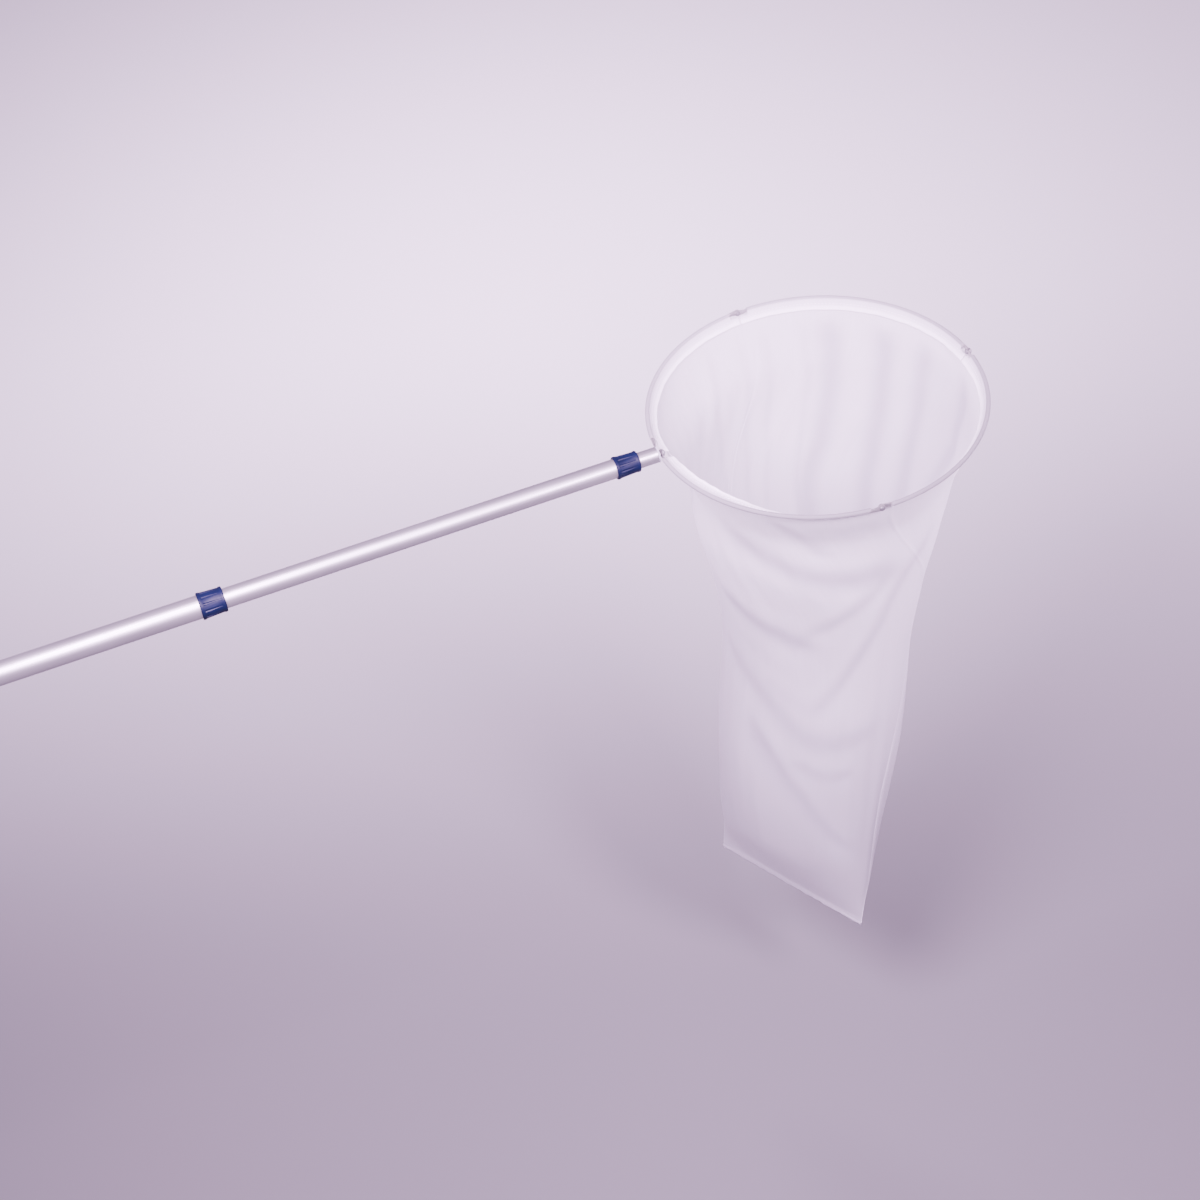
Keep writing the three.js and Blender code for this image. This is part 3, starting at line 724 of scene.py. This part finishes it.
def foldHeight(down, degrees):
    # Heights in millimetres and shares of painted shade.
    perDegree, perDown = foldMap["perDegree"], foldMap["perDown"]
    total, hollow = np.zeros(down.shape), np.zeros(down.shape)
    x, y = np.where(degrees > foldMap["cut"], degrees - 360, degrees) * perDegree, -down * perDown
    for fold in folds:
        line = throughPoints(fold["line"])
        lx, ly = line[:, 1] * perDegree, -line[:, 0] * perDown
        length = np.concatenate([[0], np.cumsum(np.hypot(np.diff(lx), np.diff(ly)))])
        # For each place on the bag: its distance from the line, its side and its share of the line's length
        best = np.full(down.shape, np.inf)
        side = np.zeros(down.shape)
        share = np.zeros(down.shape)
        for i in range(len(lx) - 1):
            dx, dy = lx[i + 1] - lx[i], ly[i + 1] - ly[i]
            t = np.clip(((x - lx[i]) * dx + (y - ly[i]) * dy) / (dx * dx + dy * dy), 0, 1)
            ox, oy = x - lx[i] - t * dx, y - ly[i] - t * dy
            gap = np.hypot(ox, oy)
            nearer = gap < best
            best = np.where(nearer, gap, best)
            side = np.where(nearer, np.sign(dx * oy - dy * ox), side)
            share = np.where(nearer, (length[i] + t * (length[i + 1] - length[i])) / length[-1], share)
        fade = fades(share, foldMap["fade"], foldMap["fade"])
        off = best * side
        (ridge, ridgeWidth), (valley, valleyWidth) = fold["ridge"], fold["valley"]
        total += fade * ridge * np.exp(-(((off - fold["apart"]) / ridgeWidth) ** 2))
        total -= fade * valley * np.exp(-(((off + fold["apart"]) / valleyWidth) ** 2))
        deep, wide = fold["hollow"]
        hollow += fade * deep * np.exp(-(((off + wide * foldMap["hollowBelow"]) / wide) ** 2))
    return total, hollow


def pleatHeight(down, degrees):
    total, hollow = np.zeros(down.shape), np.zeros(down.shape)
    for pleat in pleats:
        height, width = pleat["bulge"]
        off = (degrees - np.interp(down, *zip(*pleat["line"])) + 180) % 360 - 180
        end = pleat["line"][-1][0] + pleatMap["past"]
        fade = smooth(down / pleatMap["fadeTop"]) * smooth((end - down) / pleatMap["fadeFoot"])
        bulge = fade * np.exp(-((off * pleatMap["perDegree"] / width) ** 2))
        total += height * bulge
        hollow += pleat["hollow"] * bulge
    return total, hollow


def waveHeight(down, around):
    small = np.cos(17 * around + 3 * down + 0.6 * np.sin(5 * around)) + 0.6 * np.cos(29 * around - 4 * down)
    large = np.sin(3 * around + 9 * down) + 0.7 * np.sin(5 * around - 13 * down + 1.3)
    total = ripple["height"] * small * fades(down, ripple["fadeTop"], ripple["fadeFoot"])
    return total + swell["height"] * large * fades(down, swell["fadeTop"], swell["fadeFoot"])


def seamHeight(degrees):
    right, left = (away * foldMap["perDegree"] for away in (np.abs(degrees), 180 - np.abs(degrees)))
    right, left = np.exp(-((right / seam["width"]) ** 2)), np.exp(-((left / seam["width"]) ** 2))
    return seam["height"] * (right + seam["leftShare"] * left)


def makeMesh(name, points, faces, finish, uvs=None):
    mesh = bpy.data.meshes.new(name)
    mesh.vertices.add(len(points))
    mesh.vertices.foreach_set("co", np.asarray(points, np.float32).ravel())
    faces = np.asarray(faces, np.int32)
    mesh.loops.add(faces.size)
    mesh.loops.foreach_set("vertex_index", faces.ravel())
    mesh.polygons.add(len(faces))
    mesh.polygons.foreach_set("loop_start", np.arange(0, faces.size, faces.shape[1], dtype=np.int32))
    mesh.update(calc_edges=True)
    mesh.shade_smooth()
    if uvs is not None:
        layer = mesh.uv_layers.new(name="weave")
        layer.data.foreach_set("uv", np.asarray(uvs, np.float32)[faces.ravel()].ravel())
    mesh.materials.append(finish)
    made = bpy.data.objects.new(name, mesh)
    everything.objects.link(made)
    return made


def paint(made, name, values):
    layer = made.data.attributes.new(name, "FLOAT", "POINT")
    layer.data.foreach_set("value", np.asarray(values, np.float32))


def bagColumns():
    # Even steps round the bag, with finer ones at the two side seams and on to the side hinges.
    even = np.linspace(-math.pi, math.pi, bag["columns"] + 1)
    fine = np.radians(np.arange(1, bag["fineColumns"] + 1) * bag["fineStep"])
    few = fine[: bag["fineBeyond"]]
    return np.unique(np.round(np.concatenate([even, few, -fine, math.pi - few, fine - math.pi]), 5))


def bagGrid():
    strip = np.linspace(bag["top"], bag["stripEnd"], bag["stripRows"] + 1)
    rest = np.linspace(bag["stripEnd"], bag["bottom"], bag["rows"] + 1)[1:]
    depth, column = np.meshgrid(np.concatenate([strip, rest]), bagColumns(), indexing="ij")
    around = seamLean(depth, column)
    points = bagPoints(depth, around)
    outward = np.cross(np.gradient(points, axis=1), -np.gradient(points, axis=0))
    outward[:, 0] = outward[:, -1] = outward[:, 0] + outward[:, -1]
    outward /= np.linalg.norm(outward, axis=-1, keepdims=True)
    down, degrees = shareDown(depth), np.degrees(around)
    (folded, foldShade), (pleated, pleatShade) = foldHeight(down, degrees), pleatHeight(down, degrees)
    height = folded + pleated + waveHeight(down, around) + seamHeight(np.degrees(column))
    # Painted shade from the folds and pleats, faded in below the hem.
    hollow = np.clip(foldShade + pleatShade, 0, 1) * smooth(down / bag["hollowTop"])
    room = np.maximum(bagWidth(np.clip(down, 0, 1)), bag["flat"]) / bag["reliefRoom"]
    height *= fades(down, bag["reliefTop"], bag["reliefFoot"]) * np.clip(room, bag["reliefLeast"], 1)
    points = points + outward * height[..., None] / 1000
    return depth, around, points, hollow


depth, around, surface, hollow = bagGrid()
columns = surface.shape[1] - 1
vertexOf = np.arange(surface.shape[0] * columns).reshape(surface.shape[0], columns)
flatPoints = surface[:, :columns].reshape(-1, 3)
widths = np.degrees(around[:, :columns]) * bag["weavePerDegree"]
weaveMap = np.stack([widths.ravel(), -depth[:, :columns].ravel()], -1)
cells = []
for i in range(surface.shape[0] - 1):
    for j in range(columns):
        k = (j + 1) % columns
        cells.append((vertexOf[i + 1, j], vertexOf[i + 1, k], vertexOf[i, k], vertexOf[i, j]))
cells = np.array(cells)
cellX = flatPoints[cells, 0]
inBand = np.arange(len(cells)) < bag["stripRows"] * columns


def bagPart(name, keep):
    used, index = np.unique(cells[keep], return_inverse=True)
    made = makeMesh(name, flatPoints[used], index.reshape(-1, 4), cloth, weaveMap[used])
    paint(made, "hollow", hollow[:, :columns].ravel()[used])
    return made


def cutAway(made, point, normal, faceCount=None):
    # Cuts along a plane, through the first faces only where a count is given, and drops what lies before it.
    work = bmesh.new()
    work.from_mesh(made.data)
    work.faces.ensure_lookup_table()
    faces = work.faces[:faceCount]
    edges = dict.fromkeys(e for f in faces for e in f.edges)
    corners = dict.fromkeys(v for f in faces for v in f.verts)
    whole = [*faces, *edges, *corners]
    split = bmesh.ops.bisect_plane(work, geom=whole, dist=1e-6, plane_co=point, plane_no=normal)
    cut = [g for g in split["geom"] if isinstance(g, bmesh.types.BMFace)]
    dropped = [f for f in cut if (f.calc_center_median() - Vector(point)).dot(Vector(normal)) > 0]
    bmesh.ops.delete(work, geom=dropped, context="FACES")
    work.to_mesh(made.data)
    work.free()


# The strip along the front of the mouth follows the front of the hoop. Its ends are cut on a slant in front
# of the hinges, and a gusset there takes the part that the slant cuts off. Its tongue goes up between the hem
# flaps.
gusset = {"reach": 0.014, "width": 0.03}
stripFoot = float(surface[bag["stripRows"], :, 2].max())
slant = Vector((-(stripFoot + bag["hemEdge"]), 0, -gusset["reach"])).normalized()
atHinge, atFoot = (hingeX, 0, 0), (hingeX, 0, stripFoot)
behind, inFront = cellX.min(1) < hingeX, cellX.max(1) > hingeX

bagBody = bagPart("bag_body", ~inBand | behind)
cutAway(bagBody, atHinge, (1, 0, 0), int((inBand & behind).sum()))
bagStrip = bagPart("bag_mouth_front", inBand & inFront)
cutAway(bagStrip, atHinge, (-1, 0, 0))
cutAway(bagStrip, atFoot, -slant)
bagGussets = bagPart("bag_gussets", inBand & inFront & (cellX.min(1) < hingeX + gusset["width"]))
cutAway(bagGussets, atHinge, (-1, 0, 0))
cutAway(bagGussets, atFoot, slant)
print("bag made:", len(bagBody.data.polygons), "faces")


def hemProfile():
    # Outer outline of the casing from the inside bottom, over the wire, to the outside bottom.
    radius, neck = hem["around"], hem["neck"]
    points = []
    for z in np.linspace(-hem["drop"], -radius, hem["bandPoints"]):
        ease = smooth((z + radius * neck["foot"]) / (radius * neck["height"]))
        lip = hem["lip"] * math.exp(-(((z + hem["drop"] - hem["lipUp"]) / hem["lipHeight"]) ** 2))
        points.append((-(hem["band"] + lip + (radius * neck["width"] - hem["band"]) * ease), z))
    for degrees in np.linspace(180 + hem["under"], -hem["under"], hem["roundPoints"]):
        angle = math.radians(degrees)
        points.append((radius * math.cos(angle), radius * math.sin(angle)))
    return points + [(-x, z) for x, z in reversed(points[: hem["bandPoints"]])]


def bandPlace(angle, across, level):
    # From the casing's own section to a place on the hoop.
    lean = float(hemTilt(angle))
    r = hoop["radius"] + across * math.cos(lean) + level * math.sin(lean)
    return hoopX + r * math.cos(angle), r * math.sin(angle), level * math.cos(lean) - across * math.sin(lean)


tongue = {
    "top": 0.0057,
    "back": 0.004,
    "front": 1.3,  # as a share of the gusset's reach
    "steps": 18,
    "levels": 6,
}


def tonguePiece():
    # The two slips of cloth between the hem flaps, from just behind the hinges to past the gussets' slant.
    points, uvs, faces = [], [], []
    steps, levels = tongue["steps"], tongue["levels"]
    for side in (-1, 1):
        first = len(points)
        for i in range(steps + 1):
            length = gusset["reach"] * tongue["front"] + tongue["back"]
            x = hingeX - hoopX - tongue["back"] + length * i / steps
            angle = side * math.acos(x / hoop["radius"])
            for j in range(levels + 1):
                down = tongue["top"] + (hem["sewn"] - tongue["top"]) * j / levels
                points.append(bandPlace(angle, 0, -down))
                uvs.append((x, -down))
        for i in range(steps):
            for j in range(levels):
                a = first + i * (levels + 1) + j
                quad = (a, a + levels + 1, a + levels + 2, a + 1)
                faces.append(quad if side > 0 else quad[::-1])
    return makeMesh("bag_tongues", points, faces, cloth, uvs)


tongues = tonguePiece()

# Each hem lies between two angles round the hoop. Its casing ends at the bare distance from each of them, and
# its band goes on under the bare wire as a flap, up to the flap's distance.
hinge = hoop["sideHinge"]
hemPlaces = {
    "rear_left": {
        "from": hinge,
        "to": 180,
        "bare": (0.0115, 0.027),
        "flap": (0.0005, 0.0065),
        "body": "head",
    },
    "rear_right": {
        "from": 180,
        "to": 360 - hinge,
        "bare": (0.011, 0.0115),
        "flap": (0.0065, 0.0005),
        "body": "head",
    },
    "front_left": {
        "from": 0,
        "to": hinge,
        "bare": (0.0105, 0.0115),
        "flap": (0.0003, 0.0005),
        "body": "front_hoop",
    },
    "front_right": {
        "from": -hinge,
        "to": 0,
        "bare": (0.0115, 0.0105),
        "flap": (0.0005, 0.0003),
        "body": "front_hoop",
    },
}


def hemPiece(name, place, seed):
    # Puckered tape round the wire. Where the wire is bare the outline is pressed down to the flap.
    profile = hemProfile()
    radius, bare, flap = hoop["radius"], place["bare"], place["flap"]
    first, last = math.radians(place["from"]) * radius, math.radians(place["to"]) * radius
    even = np.linspace(first + flap[0], last - flap[1], int((last - first) / hem["step"]))
    small, large = hem["notchSteps"]
    notch = np.array([-large, -small, small, large])
    runs = np.unique(np.concatenate([even, first + bare[0] + notch, last - bare[1] - notch]))
    phase = np.random.default_rng(seed).uniform(0, 6.28, 4)
    waves = [*hem["puckers"], *hem["sways"]]
    wireShowAndShade, wavy, notchEnd = hem["wireShowAndShade"], hem["wavy"], hem["notchEnd"]
    points, uvs, masks = [], [], []
    for s in runs:
        t = s / radius
        full = float(smooth((min(s - first - bare[0], last - bare[1] - s) + notchEnd) / (2 * notchEnd)))
        heights = [height * math.sin(s / length + start) for (height, length), start in zip(waves, phase)]
        pucker, sway = heights[0] + heights[1], heights[2] + heights[3]
        shows = wireShowAndShade["middle"] - wireShowAndShade["near"] * math.sin(t)  # painted shade, most on the near side
        reach = 0.0
        for x, z in profile:
            foot = wireShowAndShade["outer"] if x > 0 else wireShowAndShade["inner"]  # lower on the inner side, which is pulled tight
            masks.append(shows * float(smooth(full * 3) * smooth((z - foot) / wireShowAndShade["over"])))
            if z > -hem["notch"]:
                x *= full + (1 - full) * hem["band"] / hem["around"]
                z = -hem["notch"] + (z + hem["notch"]) * max(full, hem["flapHeight"])
            low = float(smooth(-(z + wavy["from"]) / wavy["over"]))
            small = pucker * wavy["share"]
            points.append(bandPlace(t, x + low * (sway + small), z + low * small))
            uvs.append((s, reach))
            reach += hem["weaveStep"]
    n = len(profile)
    faces = []
    for i in range(len(runs) - 1):
        for j in range(n - 1):
            a = i * n + j
            faces.append((a, a + 1, a + n + 1, a + n))
    made = makeMesh(name, points, faces, hemTape, uvs)
    paint(made, "overWire", masks)
    shell = made.modifiers.new("thickness", "SOLIDIFY")
    shell.thickness = hem["cloth"]
    shell.offset = -1
    shell.use_even_offset = True
    return made


hems = {}
for seed, (name, place) in enumerate(hemPlaces.items()):
    hems[name] = hemPiece("hem_cloth_" + name, place, seed)
print("hems made")

# The sewn foot: the two panels drawn together, with a short taper at its ends
bottomSeam = {
    "drop": 0.007,
    "thick": 0.0022,
    "steps": 90,
    "levels": 8,
    "ease": 1.4,
    "edge": 4.4,  # roundness of the lower edge
    "waves": ((0.0005, 21, 0), (0.0004, 47, 1)),  # height, radians over half the length, and start
    "taper": 0.25,
    "taperFrom": 0.97,
    "weaveStep": 0.001,
}


def footAxes():
    # Half length and middle of the bag's flat foot, and the directions along it and across it.
    end = np.array(1.0)
    turn = math.radians(bag["turnBottom"])
    middle = Vector((hoopX + float(bagMidX(end)), float(bagMidY(end)), -bag["bottom"]))
    along = Vector((math.cos(turn), math.sin(turn), 0))
    across = Vector((-math.sin(turn), math.cos(turn), 0))
    return float(bagLength(end)), middle, along, across


def bottomSeamPiece():
    half, middle, along, across = footAxes()
    steps, levels = bottomSeam["steps"], bottomSeam["levels"]
    outline = []
    for i in range(levels + 1):
        z = -bottomSeam["drop"] * i / levels
        ease = float(smooth(i / levels * bottomSeam["ease"]))
        w = bag["flat"] + (bottomSeam["thick"] / 2 - bag["flat"]) * ease
        outline.append((w * math.sqrt(max(0.0, 1 - max(0, i - levels + 2) ** 2 / bottomSeam["edge"])), z))
    loop = outline + [(-x, z) for x, z in reversed(outline)]
    n = len(loop)
    points, uvs = [], []
    for i in range(steps + 1):
        t = -1 + 2 * i / steps
        wave = sum(height * math.sin(t * rate + start) for height, rate, start in bottomSeam["waves"])
        beyond = max(0.0, abs(t) - bottomSeam["taperFrom"]) / (1 - bottomSeam["taperFrom"])
        for j, (x, z) in enumerate(loop):
            sway = wave * (-z / bottomSeam["drop"])
            side = x * (1 - bottomSeam["taper"] * beyond) + sway
            points.append(middle + along * (half * t) + across * side + Vector((0, 0, z)))
            uvs.append((half * t, bottomSeam["weaveStep"] * j))
    faces = []
    for i in range(steps):
        for j in range(n):
            a, b = i * n + j, i * n + (j + 1) % n
            faces.append((a, a + n, b + n, b))
    for i in (0, steps):
        for j in range(n // 2 - 1):
            cap = (i * n + j, i * n + j + 1, i * n + n - 2 - j, i * n + n - 1 - j)
            faces.append(cap[::-1] if i else cap)
    return makeMesh("bag_foot_seam", points, faces, cloth, uvs)


footSeam = bottomSeamPiece()

stitch = {
    "pitch": 0.0042,
    "length": 0.0031,
    "thickness": 0.00055,
    "hemRows": ((-1, 0.0002, -0.0125), (1, 0.0002, -0.0125), (-1, 0.0003, -0.0068)),  # face, gap and height
    "hemEnd": 0.001,
    "hemSteps": 90,
    "footEnd": 0.002,  # the two rows on the sewn foot
    "footDrop": 0.0028,
    "footSide": 0.0017,
    "besideSeams": (-179, -1.6, 1.6, 179),  # degrees round the bag
    "seamStep": 6,
}


def stitchTree():
    # Beads of thread along curves. A bead is one unit across before it takes the stitch's sizes.
    sizes = dict.fromkeys(("Pitch", "Length", "Thickness"), "NodeSocketFloat")
    tree, start = newTree("stitches", {**sizes, "Finish": "NodeSocketMaterial"})
    inputs = {"Curve": start["Geometry"], "Length": start["Pitch"]}
    spots = node(tree, "GeometryNodeCurveToPoints", inputs, mode="LENGTH").outputs
    bead = node(tree, "GeometryNodeMeshUVSphere", {"Segments": 6, "Rings": 5, "Radius": 0.5}).outputs["Mesh"]
    inputs = {"X": start["Thickness"], "Y": start["Thickness"], "Z": start["Length"]}
    size = node(tree, "ShaderNodeCombineXYZ", inputs).outputs[0]
    inputs = {"Points": spots["Points"], "Instance": bead, "Rotation": spots["Rotation"], "Scale": size}
    placed = node(tree, "GeometryNodeInstanceOnPoints", inputs).outputs[0]
    real = node(tree, "GeometryNodeRealizeInstances", {"Geometry": placed}).outputs[0]
    rounded = node(tree, "GeometryNodeSetShadeSmooth", {"Geometry": real}).outputs[0]
    inputs = {"Geometry": rounded, "Material": start["Finish"]}
    node(tree, "NodeGroupOutput", {"Geometry": node(tree, "GeometryNodeSetMaterial", inputs).outputs[0]})
    return tree


stitches = stitchTree()


def stitchRows(name, rows, body):
    curve = bpy.data.curves.new(name, "CURVE")
    curve.dimensions = "3D"
    for row in rows:
        spline = curve.splines.new("POLY")
        spline.points.add(len(row) - 1)
        for spot, p in zip(spline.points, row):
            spot.co = (*p, 1)
    guide = bpy.data.objects.new(name + "Guide", curve)
    everything.objects.link(guide)
    sizes = {"Pitch": stitch["pitch"], "Length": stitch["length"], "Thickness": stitch["thickness"]}
    applyTree(guide, stitches, {**sizes, "Finish": thread})
    settled = guide.evaluated_get(bpy.context.evaluated_depsgraph_get())
    mesh = bpy.data.meshes.new_from_object(settled)
    mesh.name = name
    made = bpy.data.objects.new(name, mesh)
    everything.objects.link(made)
    bpy.data.objects.remove(guide)
    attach(made, body)
    return made


def hemStitches(name, place):
    ends = [(bare + stitch["hemEnd"]) / hoop["radius"] for bare in place["bare"]]
    first, last = math.radians(place["from"]) + ends[0], math.radians(place["to"]) - ends[1]
    angles = np.linspace(first, last, stitch["hemSteps"])
    rows = []
    for side, gap, level in stitch["hemRows"]:
        rows.append([bandPlace(t, side * (hem["band"] + gap), level) for t in angles])
    return stitchRows("hem_stitches_" + name, rows, place["body"])


def bagStitches():
    # Two rows on the sewn foot, and one along each edge of the side seams.
    half, middle, along, across = footAxes()
    half -= stitch["footEnd"]
    middle.z -= stitch["footDrop"]
    rows = []
    for side in (-1, 1):
        row = middle + across * side * stitch["footSide"]
        rows.append([row - along * half, row + along * half])
    for degrees in stitch["besideSeams"]:
        column = int(np.argmin(np.abs(bagColumns() - math.radians(degrees))))
        rows.append([Vector(p) for p in surface[bag["stripRows"] :: stitch["seamStep"], column]])
    return stitchRows("bag_stitches", rows, "head")


hemThreads = [hemStitches(name, place) for name, place in hemPlaces.items()]
bagThreads = bagStitches()
print("stitches made")

for name, place in hemPlaces.items():
    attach(hems[name], place["body"])
    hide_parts("hem_" + name)
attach(footSeam, "head")
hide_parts("bag_bottom_seam")
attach(bagBody, "head")
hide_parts("bag_front_panel", "bag_rear_panel", "bag_left_seam", "bag_right_seam")
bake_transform(bagStrip)
for piece in (bagGussets, tongues):
    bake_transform(piece)
print("bag sewn to the hoop")

view = {
    "lens": 66.0,
    "sensor": 36,
    "reach": 60,
    "from": (-0.7746, -1.7404, 1.5997),  # from the hoop's middle
    "right": (0.9274, -0.3616, -0.0959),
    "up": (0.3198, 0.6333, 0.7048),
}
camera = bpy.data.objects.new("camera", bpy.data.cameras.new("camera"))
everything.objects.link(camera)
camera.data.sensor_width = view["sensor"]
camera.data.lens = view["lens"]
camera.data.clip_end = view["reach"]
right = Vector(view["right"]).normalized()
up = Vector(view["up"])
up = (up - right * up.dot(right)).normalized()
turned = Matrix((right, up, right.cross(up))).transposed().to_4x4()
camera.matrix_world = Matrix.Translation(Vector((hoopX, 0, 0)) + Vector(view["from"])) @ turned
bpy.context.scene.camera = camera

# The floor's colour holds painted light and shade: it grows paler away from the camera and behind it,
# between two distances each, measured along the line of sight as it lies on the floor. The cast colours all
# the light.
room = {
    "floor": -1.0,
    "size": 16,
    "near": 0.14,
    "far": 0.55,
    "roughness": 0.9,
    "sight": 0.35,  # how far the line of sight goes along x for each metre along y
    "paintedLightAway": (0.26, 2.11),
    "paintedLightBehind": (-0.9, -3.2),
    "cast": (1, 0.69, 1.12),
    "haze": 0.55,
}


def floorPiece():
    s, z = room["size"] / 2, room["floor"]
    corners = [(hoopX - s, -s, z), (hoopX + s, -s, z), (hoopX + s, s, z), (hoopX - s, s, z)]
    near, far = (room["near"],) * 3, (room["far"],) * 3
    material, tree, shader = newMaterial("paleFloor", {"color": far, "roughness": room["roughness"]})
    parts = splitCoords(tree, objectCoords(tree))
    distance = maths(tree, "MULTIPLY_ADD", parts["X"], room["sight"], parts["Y"])
    paintedLight = [spread(tree, distance, 0, 1, *room[ends]) for ends in ("paintedLightAway", "paintedLightBehind")]
    for ramp in paintedLight:
        ramp.node.interpolation_type = "SMOOTHSTEP"
    # Painted light and shade: darker near the camera, paler away from it and behind it.
    dress(tree, shader, tint(tree, maths(tree, "MAXIMUM", *paintedLight), near, far))
    makeMesh("floor", corners, [(0, 1, 2, 3)], material)


floorPiece()

# Places and targets are measured from the hoop's middle, and powers are in watts.
lights = {
    "keyLight": {"place": (0.38, -1.5, 1.45), "target": (-0.05, 0, -0.1), "size": 0.5, "power": 122},
    "leftLight": {"place": (-0.78, -0.5, 0.9), "target": (-0.1, -0.1, -0.1), "size": 0.7, "power": 103},
    "lowLight": {
        "place": (-1.0, -0.95, -0.55),
        "target": (-0.03, -0.1, -0.76),
        "size": 0.6,
        "power": 1.2,
        "beam": 30,
    },
    "sideLight": {
        "place": (1.25, -0.75, 0.1),
        "target": (0.15, 0, -0.24),
        "size": 0.6,
        "power": 2.2,
        "beam": 26,
    },
    "farLight": {"place": (0.0, 1.6, 0.6), "target": (0.5, 2.2, -1.0), "size": 0.8, "power": 150},
}


def softLight(name, place, target, size, power, beam=180):
    data = bpy.data.lights.new(name, "AREA")
    data.shape = "DISK"
    data.size = size
    data.energy = power
    data.spread = math.radians(beam)
    data.color = room["cast"]
    lamp = bpy.data.objects.new(name, data)
    everything.objects.link(lamp)
    lamp.visible_camera = False
    lamp.location = Vector(place) + Vector((hoopX, 0, 0))
    lamp.rotation_mode = "QUATERNION"
    lamp.rotation_quaternion = (Vector(target) - Vector(place)).to_track_quat("-Z", "Y")


for name, light in lights.items():
    softLight(name, **light)
world = bpy.data.worlds.new("studio")
bpy.context.scene.world = world
world.use_nodes = True
world.node_tree.nodes["Background"].inputs["Color"].default_value = (*room["cast"], 1)
world.node_tree.nodes["Background"].inputs["Strength"].default_value = room["haze"]
print("camera and lights placed")
